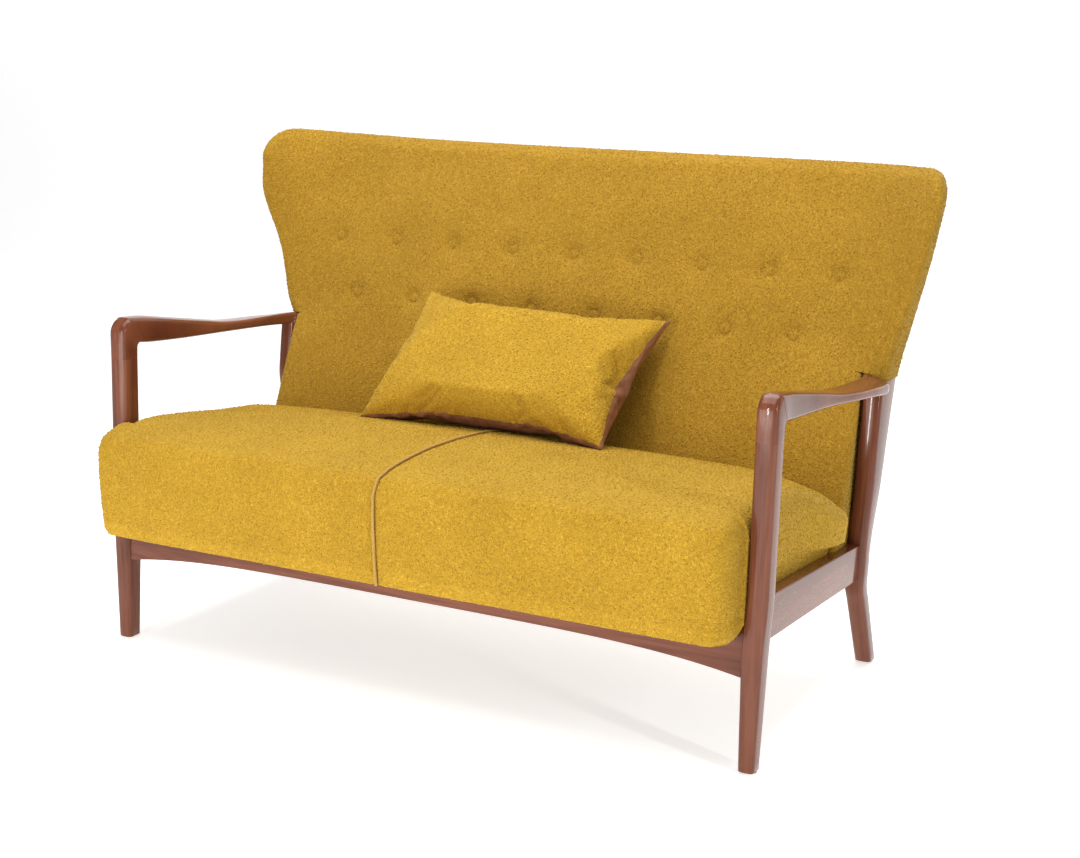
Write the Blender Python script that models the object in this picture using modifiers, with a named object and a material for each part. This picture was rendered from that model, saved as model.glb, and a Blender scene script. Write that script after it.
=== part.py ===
"""Two-seater wing-back sofa: a show-wood frame with sculpted armrests, a sprung seat,
a buttoned wing back and a loose scatter cushion.

Metres, +Z up. X runs along the sofa, the sitter looks towards -Y. While the pieces are
modelled, y = 0 is the centre line of the front legs. At the end everything moves under one
empty, so that the origin is the middle of the sofa's box, on the floor.
"""
from math import atan, cos, exp, hypot, pi, radians, sin

import bmesh
import bpy
from mathutils import Matrix, Vector
from mathutils.bvhtree import BVHTree

# Gaps
FIT = 0.0003                # between two rigid pieces that touch
SOFT_FIT = 0.0004           # between a soft piece and what it lies on

# Front legs
INNER_HALF = 0.607          # half the clear width between the legs
LEG_WIDTH = 0.036
LEG_DEPTH = 0.042
LEG_TOP = 0.535
LEG_TAPER_TOP = 0.20        # the taper to the foot starts here
FOOT_WIDTH = 0.027
FOOT_DEPTH = 0.032
LEG_ROUND = 0.009
FOOT_ROUND = 0.008

# Rear legs, which rise as posts behind the armrests
KNEE_Y = 0.5005             # front edge at the knee
KNEE_Z = 0.172
SPLAY = 0.57                # the foot goes back this much for each metre down
RAKE = 0.006                # the post's front goes back this much for each metre up
POST_BEND = 0.0235          # its top lies this much further back through its bend
POST_TOP = 0.564
POST_DEPTH = 0.0945         # at its top
POST_GROW_Z = 0.235         # it gets deeper from here up
KNEE_DEPTH = 0.038
REAR_FOOT_DEPTH = 0.034

# Feet
GLIDE_RADIUS = 0.010
GLIDE_HEIGHT = 0.0025

# Armrests
ARM_TOP = 0.6095
ARM_CORNER = 0.028          # radius of the outer front corner
ARM_FILLET = 0.009          # radius under the arm, at the leg
ARM_FRONT_HEIGHT = 0.0485
ARM_REAR_THICK = 0.024
ARM_EDGE_THICK = 0.018      # the thin outer edge of the rear paddle
ARM_FLARE = 0.025           # how far the paddle stands out past the leg
ARM_ROUND = 0.008
DOWEL_RADIUS = 0.005
DOWEL_LENGTH = 0.044

# Rails
RAIL_THICK = 0.026
SIDE_RAIL_TOP = 0.286       # at the front leg
SIDE_RAIL_DEPTH = 0.073
SIDE_RAIL_REAR_DEPTH = 0.066
SIDE_RAIL_FALL = 0.0667     # the rail falls this much for each metre back
FRONT_RAIL_THICK = 0.023
FRONT_RAIL_SET_BACK = 0.009 # from the legs' front
FRONT_RAIL_END = 0.1555     # underside at the legs
FRONT_RAIL_RISE = 0.0245    # height of the arch
REAR_RAIL_THICK = 0.020
REAR_RAIL_SET_BACK = 0.0105 # from the post's front
REAR_RAIL_BOTTOM = 0.165
TENON_LENGTH = 0.018
TENON_OVERLAP = 0.004       # sunk into the rail that it belongs to
TENON_THICK = 0.009
TENON_SHOULDER = 0.010      # from the rail's edge to the tenon
CORNER_BLOCK = 0.050
CORNER_BLOCK_HEIGHT = 0.028
CLEAT_WIDTH = 0.035
CLEAT_HEIGHT = 0.020
SCREW_RADIUS = 0.002
SCREW_HEAD_RADIUS = 0.004
SCREW_LENGTH = 0.040

# Seat
SEAT_BASE = 0.2445          # underside between the rails
BORDER_BASE = 0.2206        # underside of the border in front of the legs
BORDER_LEFT = 0.028         # the border covers this much of the left leg
BORDER_RIGHT = 0.001        # and this much of the right leg
SEAT_FRONT = -0.0905
SEAT_FRONT_LEAN = 0.0215    # the border's lower edge lies this much further back
SEAT_TOP = 0.427
SEAT_PEAK_Y = 0.14          # the crown is highest here
SEAT_FALL = 0.40            # drop for each square metre away from the peak
SEAT_SIDE_DROP = 0.010      # the rear corners lie this much lower
SEAT_DROP_RUN = 0.30        # the drop has grown to its full size this far back
SEAT_ROUND = 0.050
SEAT_SIDE_ROUND = 0.030
SEAT_TOP_ROUND = 0.040
SEAT_REAR_ROUND = 0.020
SEAM_X = -0.025
COVER = 0.0025              # thickness of the upholstery cloth
SEAT_WALL = 0.0145          # padding on the seat's sides and rear
BORDER_WALL = 0.0325        # padding in front of the seat frame
FRAME_BASE = 0.2490
FRAME_THICK = 0.024
FRAME_HEIGHT = 0.051
SPRING_RISE = 0.045         # from the frame's top to the underside of the hessian
HESSIAN = 0.0012
PIPING_RADIUS = 0.0026
BEARER_HEIGHT = 0.030
DUST_COVER = 0.0008

# Springs and webbing
SPRING_WIRE = 0.0018
SPRING_RADIUS = 0.040
SPRING_WAIST = 0.027
SPRING_TURNS = 3.5
SPRING_COLUMNS = tuple(share * INNER_HALF for share in (-0.692, -0.264, 0.264, 0.692))
SPRING_ROWS = (0.07, 0.25)
STRAP_WIDTH = 0.050
STRAP_THICK = 0.0020

# Back
BACK_BASE = 0.2365
BACK_TOP = 0.927
BACK_FRONT_Y = 0.3934       # front face at the base
BACK_FRONT_SLOPE = 0.40
BACK_TOP_THICK = 0.0417     # from front to rear at the top
BACK_ROUND = 0.022
WING_BASE_REACH = 0.0393    # the wings stand out this much just above the armrests
WING_REACH = 0.1153         # and this much at the ears
WING_TOP_DROP = 0.047       # from the top to where the ears are widest
WING_STEP = 0.008           # the wings' underside rises this much outwards
WING_FORWARD = 0.105        # how far the ears come forward
EAR_RADIUS = 0.045
EAR_LIFT_LEFT = 0.009
EAR_LIFT_RIGHT = 0.001
EAR_LIFT_SPAN = 0.077       # the lift starts this far below the top
BACK_WALL = 0.016           # padding round the back's sides
PADDING_RIM = 0.0025        # from the rear face to the padding's rear edge
PADDING_HEM = 0.0006        # from the seat cover's hem up to the padding
BACK_FRAME_DEPTH = 0.0244   # from the rear face to the front of the frame
BACK_FRAME_GAP = 0.0015     # from the rear face to the back of the frame
RIM_BACK = 0.0013           # from the rear face to the cover's rear hem
BACK_LINING = 0.0340        # from the rear face to the padding
STILE_WIDTH = 0.030
STILE_TENON = 0.011
BACK_RAIL_HEIGHT = 0.040
MIDDLE_RAIL_Z = 0.520
BACK_STRAPS = tuple(share * INNER_HALF for share in (-0.593, -0.198, 0.198, 0.593))
BACK_STRAP_ROWS = (0.33, 0.46)
BOLT_RADIUS = 0.003
BOLT_HEAD_RADIUS = 0.006
BOLT_HEAD_HEIGHT = 0.0037
BOLT_HEIGHTS = (0.33, 0.50)

# Buttons
BUTTON_MARGIN = 0.067       # from the last button to the back's side
BUTTON_MIDDLE_X = -0.005
UPPER_BUTTONS = 9
LOWER_BUTTONS = 8
BUTTON_PITCH = 2 * (INNER_HALF - BUTTON_MARGIN) / (UPPER_BUTTONS - 1)
UPPER_ROW_DROP = 0.204      # from the top
ROW_SPACING = 0.110
BUTTON_RADIUS = 0.012
BUTTON_HEIGHT = 0.0062
TWINE_RADIUS = 0.0014
TWINE_DEPTH = 0.0300         # from the back's rear face
DIMPLE_DEPTH = 0.010
DIMPLE_SPREAD = 0.035

# Scatter cushion
CUSHION_WIDTH = 0.53
CUSHION_HEIGHT = 0.295
CUSHION_THICK = 0.112
CUSHION_DRAW_IN = 0.013     # how far the sides pull in between the corners
CUSHION_SEAM = 0.008        # thickness at the seam
CUSHION_CLOTH = 0.0018
CUSHION_X = -0.030
CUSHION_Y = 0.405
CUSHION_LEAN = radians(45)
CUSHION_TURN = radians(-2)

# Levels that follow from the sizes above
OUTER_HALF = INNER_HALF + LEG_WIDTH
LEG_X = INNER_HALF + LEG_WIDTH / 2
LEG_FRONT = -LEG_DEPTH / 2
LEG_REAR = LEG_DEPTH / 2
SEAT_INNER = INNER_HALF - FIT
BACK_HALF = INNER_HALF - FIT
WING_LOW = POST_TOP + SOFT_FIT
WING_BASE = WING_LOW + WING_STEP
WING_BASE_HALF = BACK_HALF + WING_BASE_REACH
WING_HALF = BACK_HALF + WING_REACH
WING_TOP_Z = BACK_TOP - WING_TOP_DROP
UPPER_ROW_Z = BACK_TOP - UPPER_ROW_DROP
LOWER_ROW_Z = UPPER_ROW_Z - ROW_SPACING
RAIL_TOP = SEAT_BASE - FIT
FRAME_TOP = FRAME_BASE + FRAME_HEIGHT
SPRING_HEIGHT = FRAME_TOP + SPRING_RISE
HESSIAN_TOP = SPRING_HEIGHT + HESSIAN
REAR_RAIL_TOP = BACK_BASE - FIT
SEAT_MIDDLE_Y = 0.15
COLUMN_END = abs(BUTTON_MIDDLE_X) + BUTTON_PITCH * (UPPER_BUTTONS - 1) / 2
WING_START_X = COLUMN_END - BUTTON_PITCH / 2
STILE_OUTER = BACK_HALF - BACK_WALL - 0.0005
STILE_INNER = STILE_OUTER - STILE_WIDTH
STRETCH = 0.030             # of the cage, between the last buttons and the back's edge
NOMINAL_HALF = COLUMN_END + STRETCH + BACK_ROUND
BACK_TURN_Z = BACK_TOP - BACK_ROUND - 0.030

parts = bpy.data.collections.new("two_seater_sofa")
cutters = bpy.data.collections.new("cutters")


def clear_scene():
    """Start from an empty scene."""
    for item in list(bpy.data.objects):
        bpy.data.objects.remove(item, do_unlink=True)
    for collection in (parts, cutters):
        bpy.context.scene.collection.children.link(collection)


def make_material(name, colour, roughness, metallic=0.0):
    """A plain Principled material."""
    made = bpy.data.materials.new(name)
    made.use_nodes = True
    shader = made.node_tree.nodes["Principled BSDF"]
    shader.inputs["Base Color"].default_value = (*colour, 1.0)
    shader.inputs["Roughness"].default_value = roughness
    shader.inputs["Metallic"].default_value = metallic
    made.diffuse_color = (*colour, 1.0)
    return made


STAINED_WOOD = ((0.155, 0.052, 0.030), 0.28)
HIDDEN_WOOD = ((0.52, 0.38, 0.22), 0.65)
BOUCLE = ((0.56, 0.37, 0.045), 0.95)
LEATHER = ((0.20, 0.065, 0.030), 0.55)
JUTE = ((0.42, 0.31, 0.17), 0.9)
PADDING = ((0.70, 0.64, 0.50), 0.95)
BLACK_CLOTH = ((0.03, 0.03, 0.03), 0.9)
STEEL = ((0.45, 0.44, 0.42), 0.35, 1.0)
PALE_PLASTIC = ((0.75, 0.68, 0.52), 0.5)


def add(name, bm, look, smooth=True, where=parts):
    """Put a bmesh into the scene as a named object with its own material."""
    bmesh.ops.recalc_face_normals(bm, faces=bm.faces)
    closed = all(edge.is_manifold for edge in bm.edges)
    if closed and bm.calc_volume(signed=True) < 0:
        bmesh.ops.reverse_faces(bm, faces=bm.faces)
    mesh = bpy.data.meshes.new(name)
    bm.to_mesh(mesh)
    bm.free()
    item = bpy.data.objects.new(name, mesh)
    where.objects.link(item)
    if smooth:
        mesh.shade_smooth()
        mesh.set_sharp_from_angle(angle=radians(38))
    mesh.materials.append(make_material(name, *look))
    return item


def add_box(bm, low, high):
    """A box between two corners."""
    made = bmesh.ops.create_cube(bm, size=1.0)
    for vert in made["verts"]:
        vert.co = Vector([
            low[axis] if vert.co[axis] < 0 else high[axis] for axis in range(3)
        ])
    return made["verts"]


def box(name, low, high, look):
    """A plain board."""
    bm = bmesh.new()
    add_box(bm, low, high)
    return add(name, bm, look, smooth=False)


def add_loft(bm, sections):
    """Join rings of points, each with the same count, into one closed body."""
    rings = [[bm.verts.new(point) for point in ring] for ring in sections]
    count = len(rings[0])
    for lower, upper in zip(rings, rings[1:]):
        for i in range(count):
            j = (i + 1) % count
            bm.faces.new((lower[i], lower[j], upper[j], upper[i]))
    bm.faces.new(list(reversed(rings[0])))
    bm.faces.new(rings[-1])


def add_prism(bm, outline, axis, low, high):
    """Push a flat outline along an axis, from low to high."""
    rings = []
    for level in (low, high):
        ring = []
        for first, second in outline:
            point = [first, second]
            point.insert(axis, level)
            ring.append(point)
        rings.append(ring)
    add_loft(bm, rings)


def rounded_ring(half_u, half_v, radius, steps=2):
    """A rounded rectangle in its own plane, as (u, v) points."""
    ring = []
    corners = ((1, 1, 0), (-1, 1, 90), (-1, -1, 180), (1, -1, 270))
    for sign_u, sign_v, start in corners:
        for step in range(steps + 1):
            angle = radians(start + 90 * step / steps)
            u = sign_u * (half_u - radius) + radius * cos(angle)
            v = sign_v * (half_v - radius) + radius * sin(angle)
            ring.append((u, v))
    return ring


def add_turned(bm, profile, matrix, sides=8):
    """A turned body: (height, radius) pairs along local Z."""
    rings = []
    for height, radius in profile:
        ring = []
        for side in range(sides):
            angle = 2 * pi * side / sides
            ring.append(matrix @ Vector((radius * cos(angle), radius * sin(angle), height)))
        rings.append(ring)
    add_loft(bm, rings)


def aim(start, end):
    """Matrix that puts local Z along the line from start to end."""
    start = Vector(start)
    turn = (Vector(end) - start).to_track_quat("Z", "Y").to_matrix().to_4x4()
    return Matrix.Translation(start) @ turn


def finish_boolean(target, tool, operation):
    """Join or cut with the exact solver, now."""
    modifier = target.modifiers.new(operation.lower(), "BOOLEAN")
    modifier.operation = operation
    modifier.solver = "EXACT"
    modifier.object = tool
    tool.hide_render = True
    tool.display_type = "WIRE"


def cut(target, name, fill):
    """Cut target with a body that fill() writes into a bmesh."""
    bm = bmesh.new()
    fill(bm)
    tool = add(f"{name}_cutter", bm, HIDDEN_WOOD, smooth=False, where=cutters)
    finish_boolean(target, tool, "DIFFERENCE")


def join(target, name, fill):
    """Join a body that fill() writes into a bmesh to target."""
    bm = bmesh.new()
    fill(bm)
    tool = add(f"{name}_joined", bm, HIDDEN_WOOD, smooth=False, where=cutters)
    finish_boolean(target, tool, "UNION")


def bore(targets, name, start, end, radius, sides=8):
    """Drill a hole, with clearance, through each target."""
    length = (Vector(end) - Vector(start)).length
    profile = ((-FIT, radius + FIT), (length + FIT, radius + FIT))
    for target in targets:
        cut(target, f"{name}_in_{target.name}",
            lambda bm: add_turned(bm, profile, aim(start, end), sides))


def cage(xs, ys, zs, dropped):
    """A box cut along every value given, without the faces that dropped() names."""
    bm = bmesh.new()
    add_box(bm, (xs[0], ys[0], zs[0]), (xs[-1], ys[-1], zs[-1]))
    for axis, values in enumerate((xs, ys, zs)):
        normal = Vector((0, 0, 0))
        normal[axis] = 1
        for value in values[1:-1]:
            place = Vector((0, 0, 0))
            place[axis] = value
            everything = bm.verts[:] + bm.edges[:] + bm.faces[:]
            bmesh.ops.bisect_plane(
                bm, geom=everything, dist=1e-6, plane_co=place, plane_no=normal
            )
    gone = [face for face in bm.faces if dropped(face.calc_center_median())]
    bmesh.ops.delete(bm, geom=gone, context="FACES")
    return bm


def shape(bm, place):
    """Move each point of a cage to its real place and cut the quads in two."""
    for vert in bm.verts:
        vert.co = place(*vert.co)
    bmesh.ops.triangulate(bm, faces=bm.faces, quad_method="SHORT_EDGE")
    bm.normal_update()
    return bm


def lining(bm, outer_place, inner_place, depth):
    """A closed body: its outside lies depth inside the outer surface."""
    nominal = [vert.co.copy() for vert in bm.verts]
    outer = sink(shape(bm, outer_place), depth)
    inner = outer.copy()
    for vert, place in zip(inner.verts, nominal):
        vert.co = inner_place(*place)
    return between(outer, inner)


def sink(bm, depth):
    """Move a surface inwards along its normals."""
    bm.normal_update()
    moved = [vert.co - vert.normal * depth for vert in bm.verts]
    for vert, place in zip(bm.verts, moved):
        vert.co = place
    return bm


def between(outer, inner):
    """A closed body between two surfaces with the same faces."""
    bm = bmesh.new()
    outer.verts.index_update()
    outside = [bm.verts.new(vert.co) for vert in outer.verts]
    inside = [bm.verts.new(vert.co) for vert in inner.verts]
    for face in outer.faces:
        order = [vert.index for vert in face.verts]
        bm.faces.new([outside[i] for i in order])
        bm.faces.new([inside[i] for i in reversed(order)])
    rim = []
    for edge in outer.edges:
        if edge.is_boundary:
            first, second = (vert.index for vert in edge.verts)
            corners = (outside[first], outside[second], inside[second], inside[first])
            rim.append(bm.faces.new(corners))
    bmesh.ops.triangulate(bm, faces=rim, quad_method="SHORT_EDGE")
    outer.free()
    inner.free()
    return bm


def thicken(item, thickness):
    """Give an open surface its thickness, inwards."""
    solidify = item.modifiers.new("thickness", "SOLIDIFY")
    solidify.thickness = thickness
    solidify.offset = -1.0
    solidify.use_even_offset = False
    return item


def clamp(value, low=0.0, high=1.0):
    return max(low, min(high, value))


def same(first, second):
    return abs(first - second) < 1e-5


# Show-wood frame

def post_front(z):
    """Front edge of the rear leg at a height."""
    if z < KNEE_Z:
        return KNEE_Y + SPLAY * (KNEE_Z - z)
    rise = z - KNEE_Z
    return KNEE_Y + RAKE * rise + POST_BEND * (rise / (POST_TOP - KNEE_Z)) ** 2


def post_depth(z):
    """Depth of the rear leg at a height."""
    if z < KNEE_Z:
        return KNEE_DEPTH + (REAR_FOOT_DEPTH - KNEE_DEPTH) * (KNEE_Z - z) / KNEE_Z
    grown = clamp((z - POST_GROW_Z) / (POST_TOP - POST_GROW_Z))
    return KNEE_DEPTH + (POST_DEPTH - KNEE_DEPTH) * grown


def side_rail_top(y):
    return SIDE_RAIL_TOP - SIDE_RAIL_FALL * (y - LEG_REAR)


def side_rail_bottom(y):
    along = (y - LEG_REAR) / (KNEE_Y - LEG_REAR)
    depth = SIDE_RAIL_DEPTH + (SIDE_RAIL_REAR_DEPTH - SIDE_RAIL_DEPTH) * along
    return side_rail_top(y) - depth


def leg_half_width(z):
    """Half of a leg's width at a height, with its taper to the foot."""
    taper = clamp(1 - z / LEG_TAPER_TOP)
    return (LEG_WIDTH + (FOOT_WIDTH - LEG_WIDTH) * taper) / 2


def leg_round(z):
    return LEG_ROUND + (FOOT_ROUND - LEG_ROUND) * clamp(1 - z / LEG_TAPER_TOP)


def front_leg(name, side):
    """Straight leg that tapers to the foot below the rails."""
    bm = bmesh.new()
    rings = []
    for z in (GLIDE_HEIGHT + FIT, LEG_TAPER_TOP, LEG_TOP):
        taper = clamp(1 - z / LEG_TAPER_TOP)
        half_depth = (LEG_DEPTH + (FOOT_DEPTH - LEG_DEPTH) * taper) / 2
        outline = rounded_ring(leg_half_width(z), half_depth, leg_round(z))
        rings.append([(side * LEG_X + u, v, z) for u, v in outline])
    add_loft(bm, rings)
    return add(name, bm, STAINED_WOOD)


def rear_leg(name, side):
    """Leg with a knee at the rail; above it the post bends back and gets deeper."""
    bm = bmesh.new()
    low = GLIDE_HEIGHT + FIT
    high_z = [KNEE_Z + (POST_TOP - KNEE_Z) * step / 5 for step in range(1, 6)]
    heights = [low, KNEE_Z * 0.6, KNEE_Z * 0.9, KNEE_Z * 1.12] + high_z
    rings = []
    for z in heights:
        depth = post_depth(z)
        outline = rounded_ring(leg_half_width(z), depth / 2, leg_round(z))
        middle = post_front(z) + depth / 2
        rings.append([(side * LEG_X + u, middle + v, z) for u, v in outline])
    add_loft(bm, rings)
    return add(name, bm, STAINED_WOOD)


def arm_stations():
    """Cross-sections of the right armrest, from the leg's top to the post.

    Each one gives the outer or upper point, the inner or lower point (both in Y and Z), the
    inner and outer x, and the share of the thickness and the drop at the outer edge.
    """
    foot = LEG_TOP + FIT
    corner_y = LEG_FRONT + ARM_CORNER
    corner_z = ARM_TOP - ARM_CORNER
    low = ARM_TOP - ARM_FRONT_HEIGHT
    fillet_y = LEG_REAR + ARM_FILLET
    fillet_z = low - ARM_FILLET
    in_x = INNER_HALF
    out_x = OUTER_HALF
    stations = [((LEG_FRONT, foot), (LEG_REAR, foot), in_x, out_x, 1.0, 0.0)]
    for angle in (180, 155, 130, 110, 90):
        turn = radians(angle)
        outer = (corner_y + ARM_CORNER * cos(turn), corner_z + ARM_CORNER * sin(turn))
        share = (180 - angle) / 90
        back = radians(180 - 90 * share)
        inner = (fillet_y + ARM_FILLET * cos(back), fillet_z + ARM_FILLET * sin(back))
        stations.append((outer, inner, in_x, out_x, 1.0, 0.0))
    end_top = POST_TOP
    end_low = POST_TOP - ARM_REAR_THICK
    edge = ARM_EDGE_THICK / ARM_REAR_THICK
    flare = ARM_FLARE
    # share of the way to the post, upper and lower edge, inner x and outer x
    run = (
        (0.154, ARM_TOP - 0.0065, low - 0.0030, -0.001, -0.002, 0.0, 0.0),
        (0.297, ARM_TOP - 0.0180, low - 0.0065, -0.003, -0.001, 0.1, 0.0005),
        (0.440, ARM_TOP - 0.0290, low - 0.0090, -0.003, 0.15 * flare, 0.35, 0.001),
        (0.572, ARM_TOP - 0.0385, low - 0.0115, 0.000, 0.42 * flare, 0.65, 0.0025),
        (0.704, ARM_TOP - 0.0430, low - 0.0145, 0.005, 0.74 * flare, 0.9, 0.004),
        (0.836, end_top + 0.0010, end_low + 0.0035, 0.008, 0.96 * flare, 1.0, 0.005),
        (0.925, end_top + 0.0002, end_low + 0.0010, 0.0085, flare, 1.0, 0.005),
        (0.970, end_top, end_low, 0.006, 0.90 * flare, 1.0, 0.004),
    )
    for along, top, bottom, inner_shift, outer_shift, thin, drop in run:
        y = LEG_FRONT + along * (post_front(POST_TOP) - LEG_FRONT)
        share = 1 + (edge - 1) * thin
        stations.append(
            ((y, top), (y, bottom), in_x + inner_shift, out_x + outer_shift, share, drop)
        )
    top_y = post_front(end_top) - FIT
    low_y = post_front(end_low) - FIT
    end_x = out_x + 0.55 * flare
    stations.append(((top_y, end_top), (low_y, end_low), in_x + 0.001, end_x, edge, 0.003))
    return stations


def armrest(name, side):
    """One carved piece: it turns out of the leg and twists into a flat paddle."""
    bm = bmesh.new()
    rings = []
    for upper, lower, in_x, out_x, edge, drop in arm_stations():
        upper = Vector(upper)
        lower = Vector(lower)
        middle = (upper + lower) / 2
        half_height = (upper - lower).length / 2
        direction = (upper - lower).normalized()
        half_width = (out_x - in_x) / 2
        radius = min(ARM_ROUND, half_height * edge * 0.94)
        ring = []
        for u, v in rounded_ring(half_width, half_height, radius):
            outwards = (u / half_width + 1) / 2
            scale = 1 + (edge - 1) * outwards
            place = middle + direction * (v * scale)
            z = place.y - drop * outwards
            ring.append((side * (in_x + half_width + u), place.x, z))
        rings.append(ring)
    add_loft(bm, rings)
    return add(name, bm, STAINED_WOOD)


def tenon_joint(rail, post, low, high):
    """A box on the rail that a mortise in the post takes with clearance."""
    low, high = ([pick(pair) for pair in zip(low, high)] for pick in (min, max))
    name = f"{rail.name}_in_{post.name}"
    join(rail, name, lambda bm: add_box(bm, low, high))
    wide_low = [value - FIT for value in low]
    wide_high = [value + FIT for value in high]
    cut(post, name, lambda bm: add_box(bm, wide_low, wide_high))


def side_rail(name, side, front_post, rear_post):
    """Raked rail between the front leg and the rear leg."""
    front = LEG_REAR + FIT
    low_end = side_rail_bottom(KNEE_Y)
    top_end = side_rail_top(post_front(SIDE_RAIL_TOP)) - FIT
    outline = (
        (front, side_rail_bottom(front)),
        (post_front(low_end) - FIT, low_end),
        (post_front(top_end) - FIT, top_end),
        (front, side_rail_top(front)),
    )
    edges = sorted((side * INNER_HALF, side * (INNER_HALF + RAIL_THICK)))
    bm = bmesh.new()
    add_prism(bm, outline, 0, *edges)
    rail = add(name, bm, STAINED_WOOD, smooth=False)
    middle = INNER_HALF + RAIL_THICK / 2
    for post, y_low, y_high in (
        (front_post, LEG_REAR - TENON_LENGTH, front + TENON_OVERLAP),
        (rear_post, KNEE_Y - TENON_OVERLAP, KNEE_Y + TENON_LENGTH),
    ):
        y = LEG_REAR if post is front_post else KNEE_Y
        low = side_rail_bottom(y) + TENON_SHOULDER
        high = side_rail_top(y) - TENON_SHOULDER
        half = TENON_THICK / 2
        tenon_joint(rail, post, (side * (middle - half), y_low, low),
                    (side * (middle + half), y_high, high))
    return rail


def cross_rail(name, outline, y_low, thick, tenon_y, tenon_low, tenon_high, posts):
    """Rail between a left and a right leg, with a tenon at each end."""
    bm = bmesh.new()
    add_prism(bm, outline, 1, y_low, y_low + thick)
    rail = add(name, bm, STAINED_WOOD, smooth=False)
    for side, post in zip((-1, 1), posts):
        start = side * (INNER_HALF - TENON_OVERLAP)
        end = side * (INNER_HALF + TENON_LENGTH)
        tenon_joint(rail, post, (start, tenon_y, tenon_low),
                    (end, tenon_y + TENON_THICK, tenon_high))
    return rail


def front_rail_y():
    return LEG_FRONT + FRONT_RAIL_SET_BACK


def front_rail(posts):
    """Rail with an arched underside."""
    half = INNER_HALF - FIT
    outline = [(-half, RAIL_TOP), (half, RAIL_TOP)]
    steps = 16
    for step in range(steps + 1):
        x = half * (1 - 2 * step / steps)
        rise = FRONT_RAIL_RISE * (1 - abs(x / half) ** 4.5)
        outline.append((x, FRONT_RAIL_END + rise))
    outline.reverse()
    low = FRONT_RAIL_END + FRONT_RAIL_RISE
    tenon_y = front_rail_y() + 0.0005
    return cross_rail("front_rail", outline, front_rail_y(), FRONT_RAIL_THICK, tenon_y, low,
                      RAIL_TOP - TENON_SHOULDER, posts)


def rear_rail_y():
    return post_front(REAR_RAIL_TOP) + REAR_RAIL_SET_BACK


def rear_rail(posts):
    half = INNER_HALF - FIT
    outline = (
        (-half, REAR_RAIL_BOTTOM), (half, REAR_RAIL_BOTTOM),
        (half, REAR_RAIL_TOP), (-half, REAR_RAIL_TOP),
    )
    tenon_y = rear_rail_y() + REAR_RAIL_THICK - TENON_THICK - 0.0005
    return cross_rail("rear_rail", outline, rear_rail_y(), REAR_RAIL_THICK, tenon_y,
                      REAR_RAIL_BOTTOM + TENON_SHOULDER, REAR_RAIL_TOP - TENON_SHOULDER, posts)


def both_sides():
    return ((-1, "left"), (1, "right"))


def arm_dowels(side, side_name, arm, front_post, rear_post):
    """One dowel up from the front leg and one from the armrest's end into the post."""
    half = DOWEL_LENGTH / 2
    end_z = POST_TOP - ARM_REAR_THICK / 2
    end_y = post_front(end_z)
    x = side * LEG_X
    for place, post, start, end in (
        ("front", front_post, (x, 0, LEG_TOP - half), (x, 0, LEG_TOP + half)),
        ("rear", rear_post, (x, end_y - half, end_z), (x, end_y + half, end_z)),
    ):
        name = f"arm_{place}_dowel_{side_name}"
        bm = bmesh.new()
        add_turned(bm, ((0, DOWEL_RADIUS), (DOWEL_LENGTH, DOWEL_RADIUS)), aim(start, end), 10)
        add(name, bm, HIDDEN_WOOD)
        bore((arm, post), name, start, end, DOWEL_RADIUS, 10)


def foot_glides(side, side_name):
    """Nail-on glides under the two feet of one side."""
    rear_y = post_front(0) + REAR_FOOT_DEPTH / 2
    for place, y in (("front", 0.0), ("rear", rear_y)):
        bm = bmesh.new()
        profile = ((0, GLIDE_RADIUS - 0.001), (GLIDE_HEIGHT, GLIDE_RADIUS))
        add_turned(bm, profile, Matrix.Translation((side * LEG_X, y, 0)), 12)
        add(f"foot_glide_{place}_{side_name}", bm, PALE_PLASTIC)


def screw_profile(length, radius, head):
    """Countersunk screw, head at the start."""
    return ((0, head), (head - radius, radius), (length - radius * 2, radius),
            (length, radius * 0.4))


def corner_blocks(side, side_name):
    """Glue blocks in the two corners of the rails on one side."""
    edge = side * (INNER_HALF - FIT)
    inner = side * (INNER_HALF - FIT - CORNER_BLOCK)
    for place, y, step, top in (
        ("front", front_rail_y() + FRONT_RAIL_THICK + FIT, 1, RAIL_TOP),
        ("rear", rear_rail_y() - FIT, -1, REAR_RAIL_TOP - 0.004),
    ):
        outline = ((edge, y), (edge, y + step * CORNER_BLOCK), (inner, y))
        bm = bmesh.new()
        add_prism(bm, outline, 2, top - CORNER_BLOCK_HEIGHT, top)
        add(f"corner_block_{place}_{side_name}", bm, HIDDEN_WOOD, smooth=False)


def cleat_run():
    """Where the seat cleats start and end along Y."""
    start = front_rail_y() + FRONT_RAIL_THICK + CORNER_BLOCK + 0.006
    return start, back_front(RAIL_TOP) - 0.004


def seat_cleat(side, side_name):
    """Strip inside the side rail that carries the seat."""
    start, end = cleat_run()
    ends = sorted((side * (INNER_HALF - FIT), side * (INNER_HALF - FIT - CLEAT_WIDTH)))
    return box(f"seat_cleat_{side_name}", (ends[0], start, RAIL_TOP - CLEAT_HEIGHT),
               (ends[1], end, RAIL_TOP), HIDDEN_WOOD)


def seat_screws(side, side_name, cleat, dust_cover, board):
    """Screws up through the cleat into the seat frame."""
    start, end = cleat_run()
    x = side * (frame_x_outer() - FRAME_THICK / 2)
    low = RAIL_TOP - CLEAT_HEIGHT
    profile = screw_profile(SCREW_LENGTH, SCREW_RADIUS, SCREW_HEAD_RADIUS)
    for place, share in (("front", 0.25), ("rear", 0.78)):
        y = start + (end - start) * share
        head = Vector((x, y, low))
        point = Vector((x, y, low + SCREW_LENGTH))
        name = f"seat_screw_{place}_{side_name}"
        bm = bmesh.new()
        add_turned(bm, profile, aim(head, point))
        add(name, bm, STEEL)
        bore((cleat,), name, head, point, SCREW_HEAD_RADIUS)
        bore((dust_cover, board), name, head, point, SCREW_RADIUS)


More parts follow.
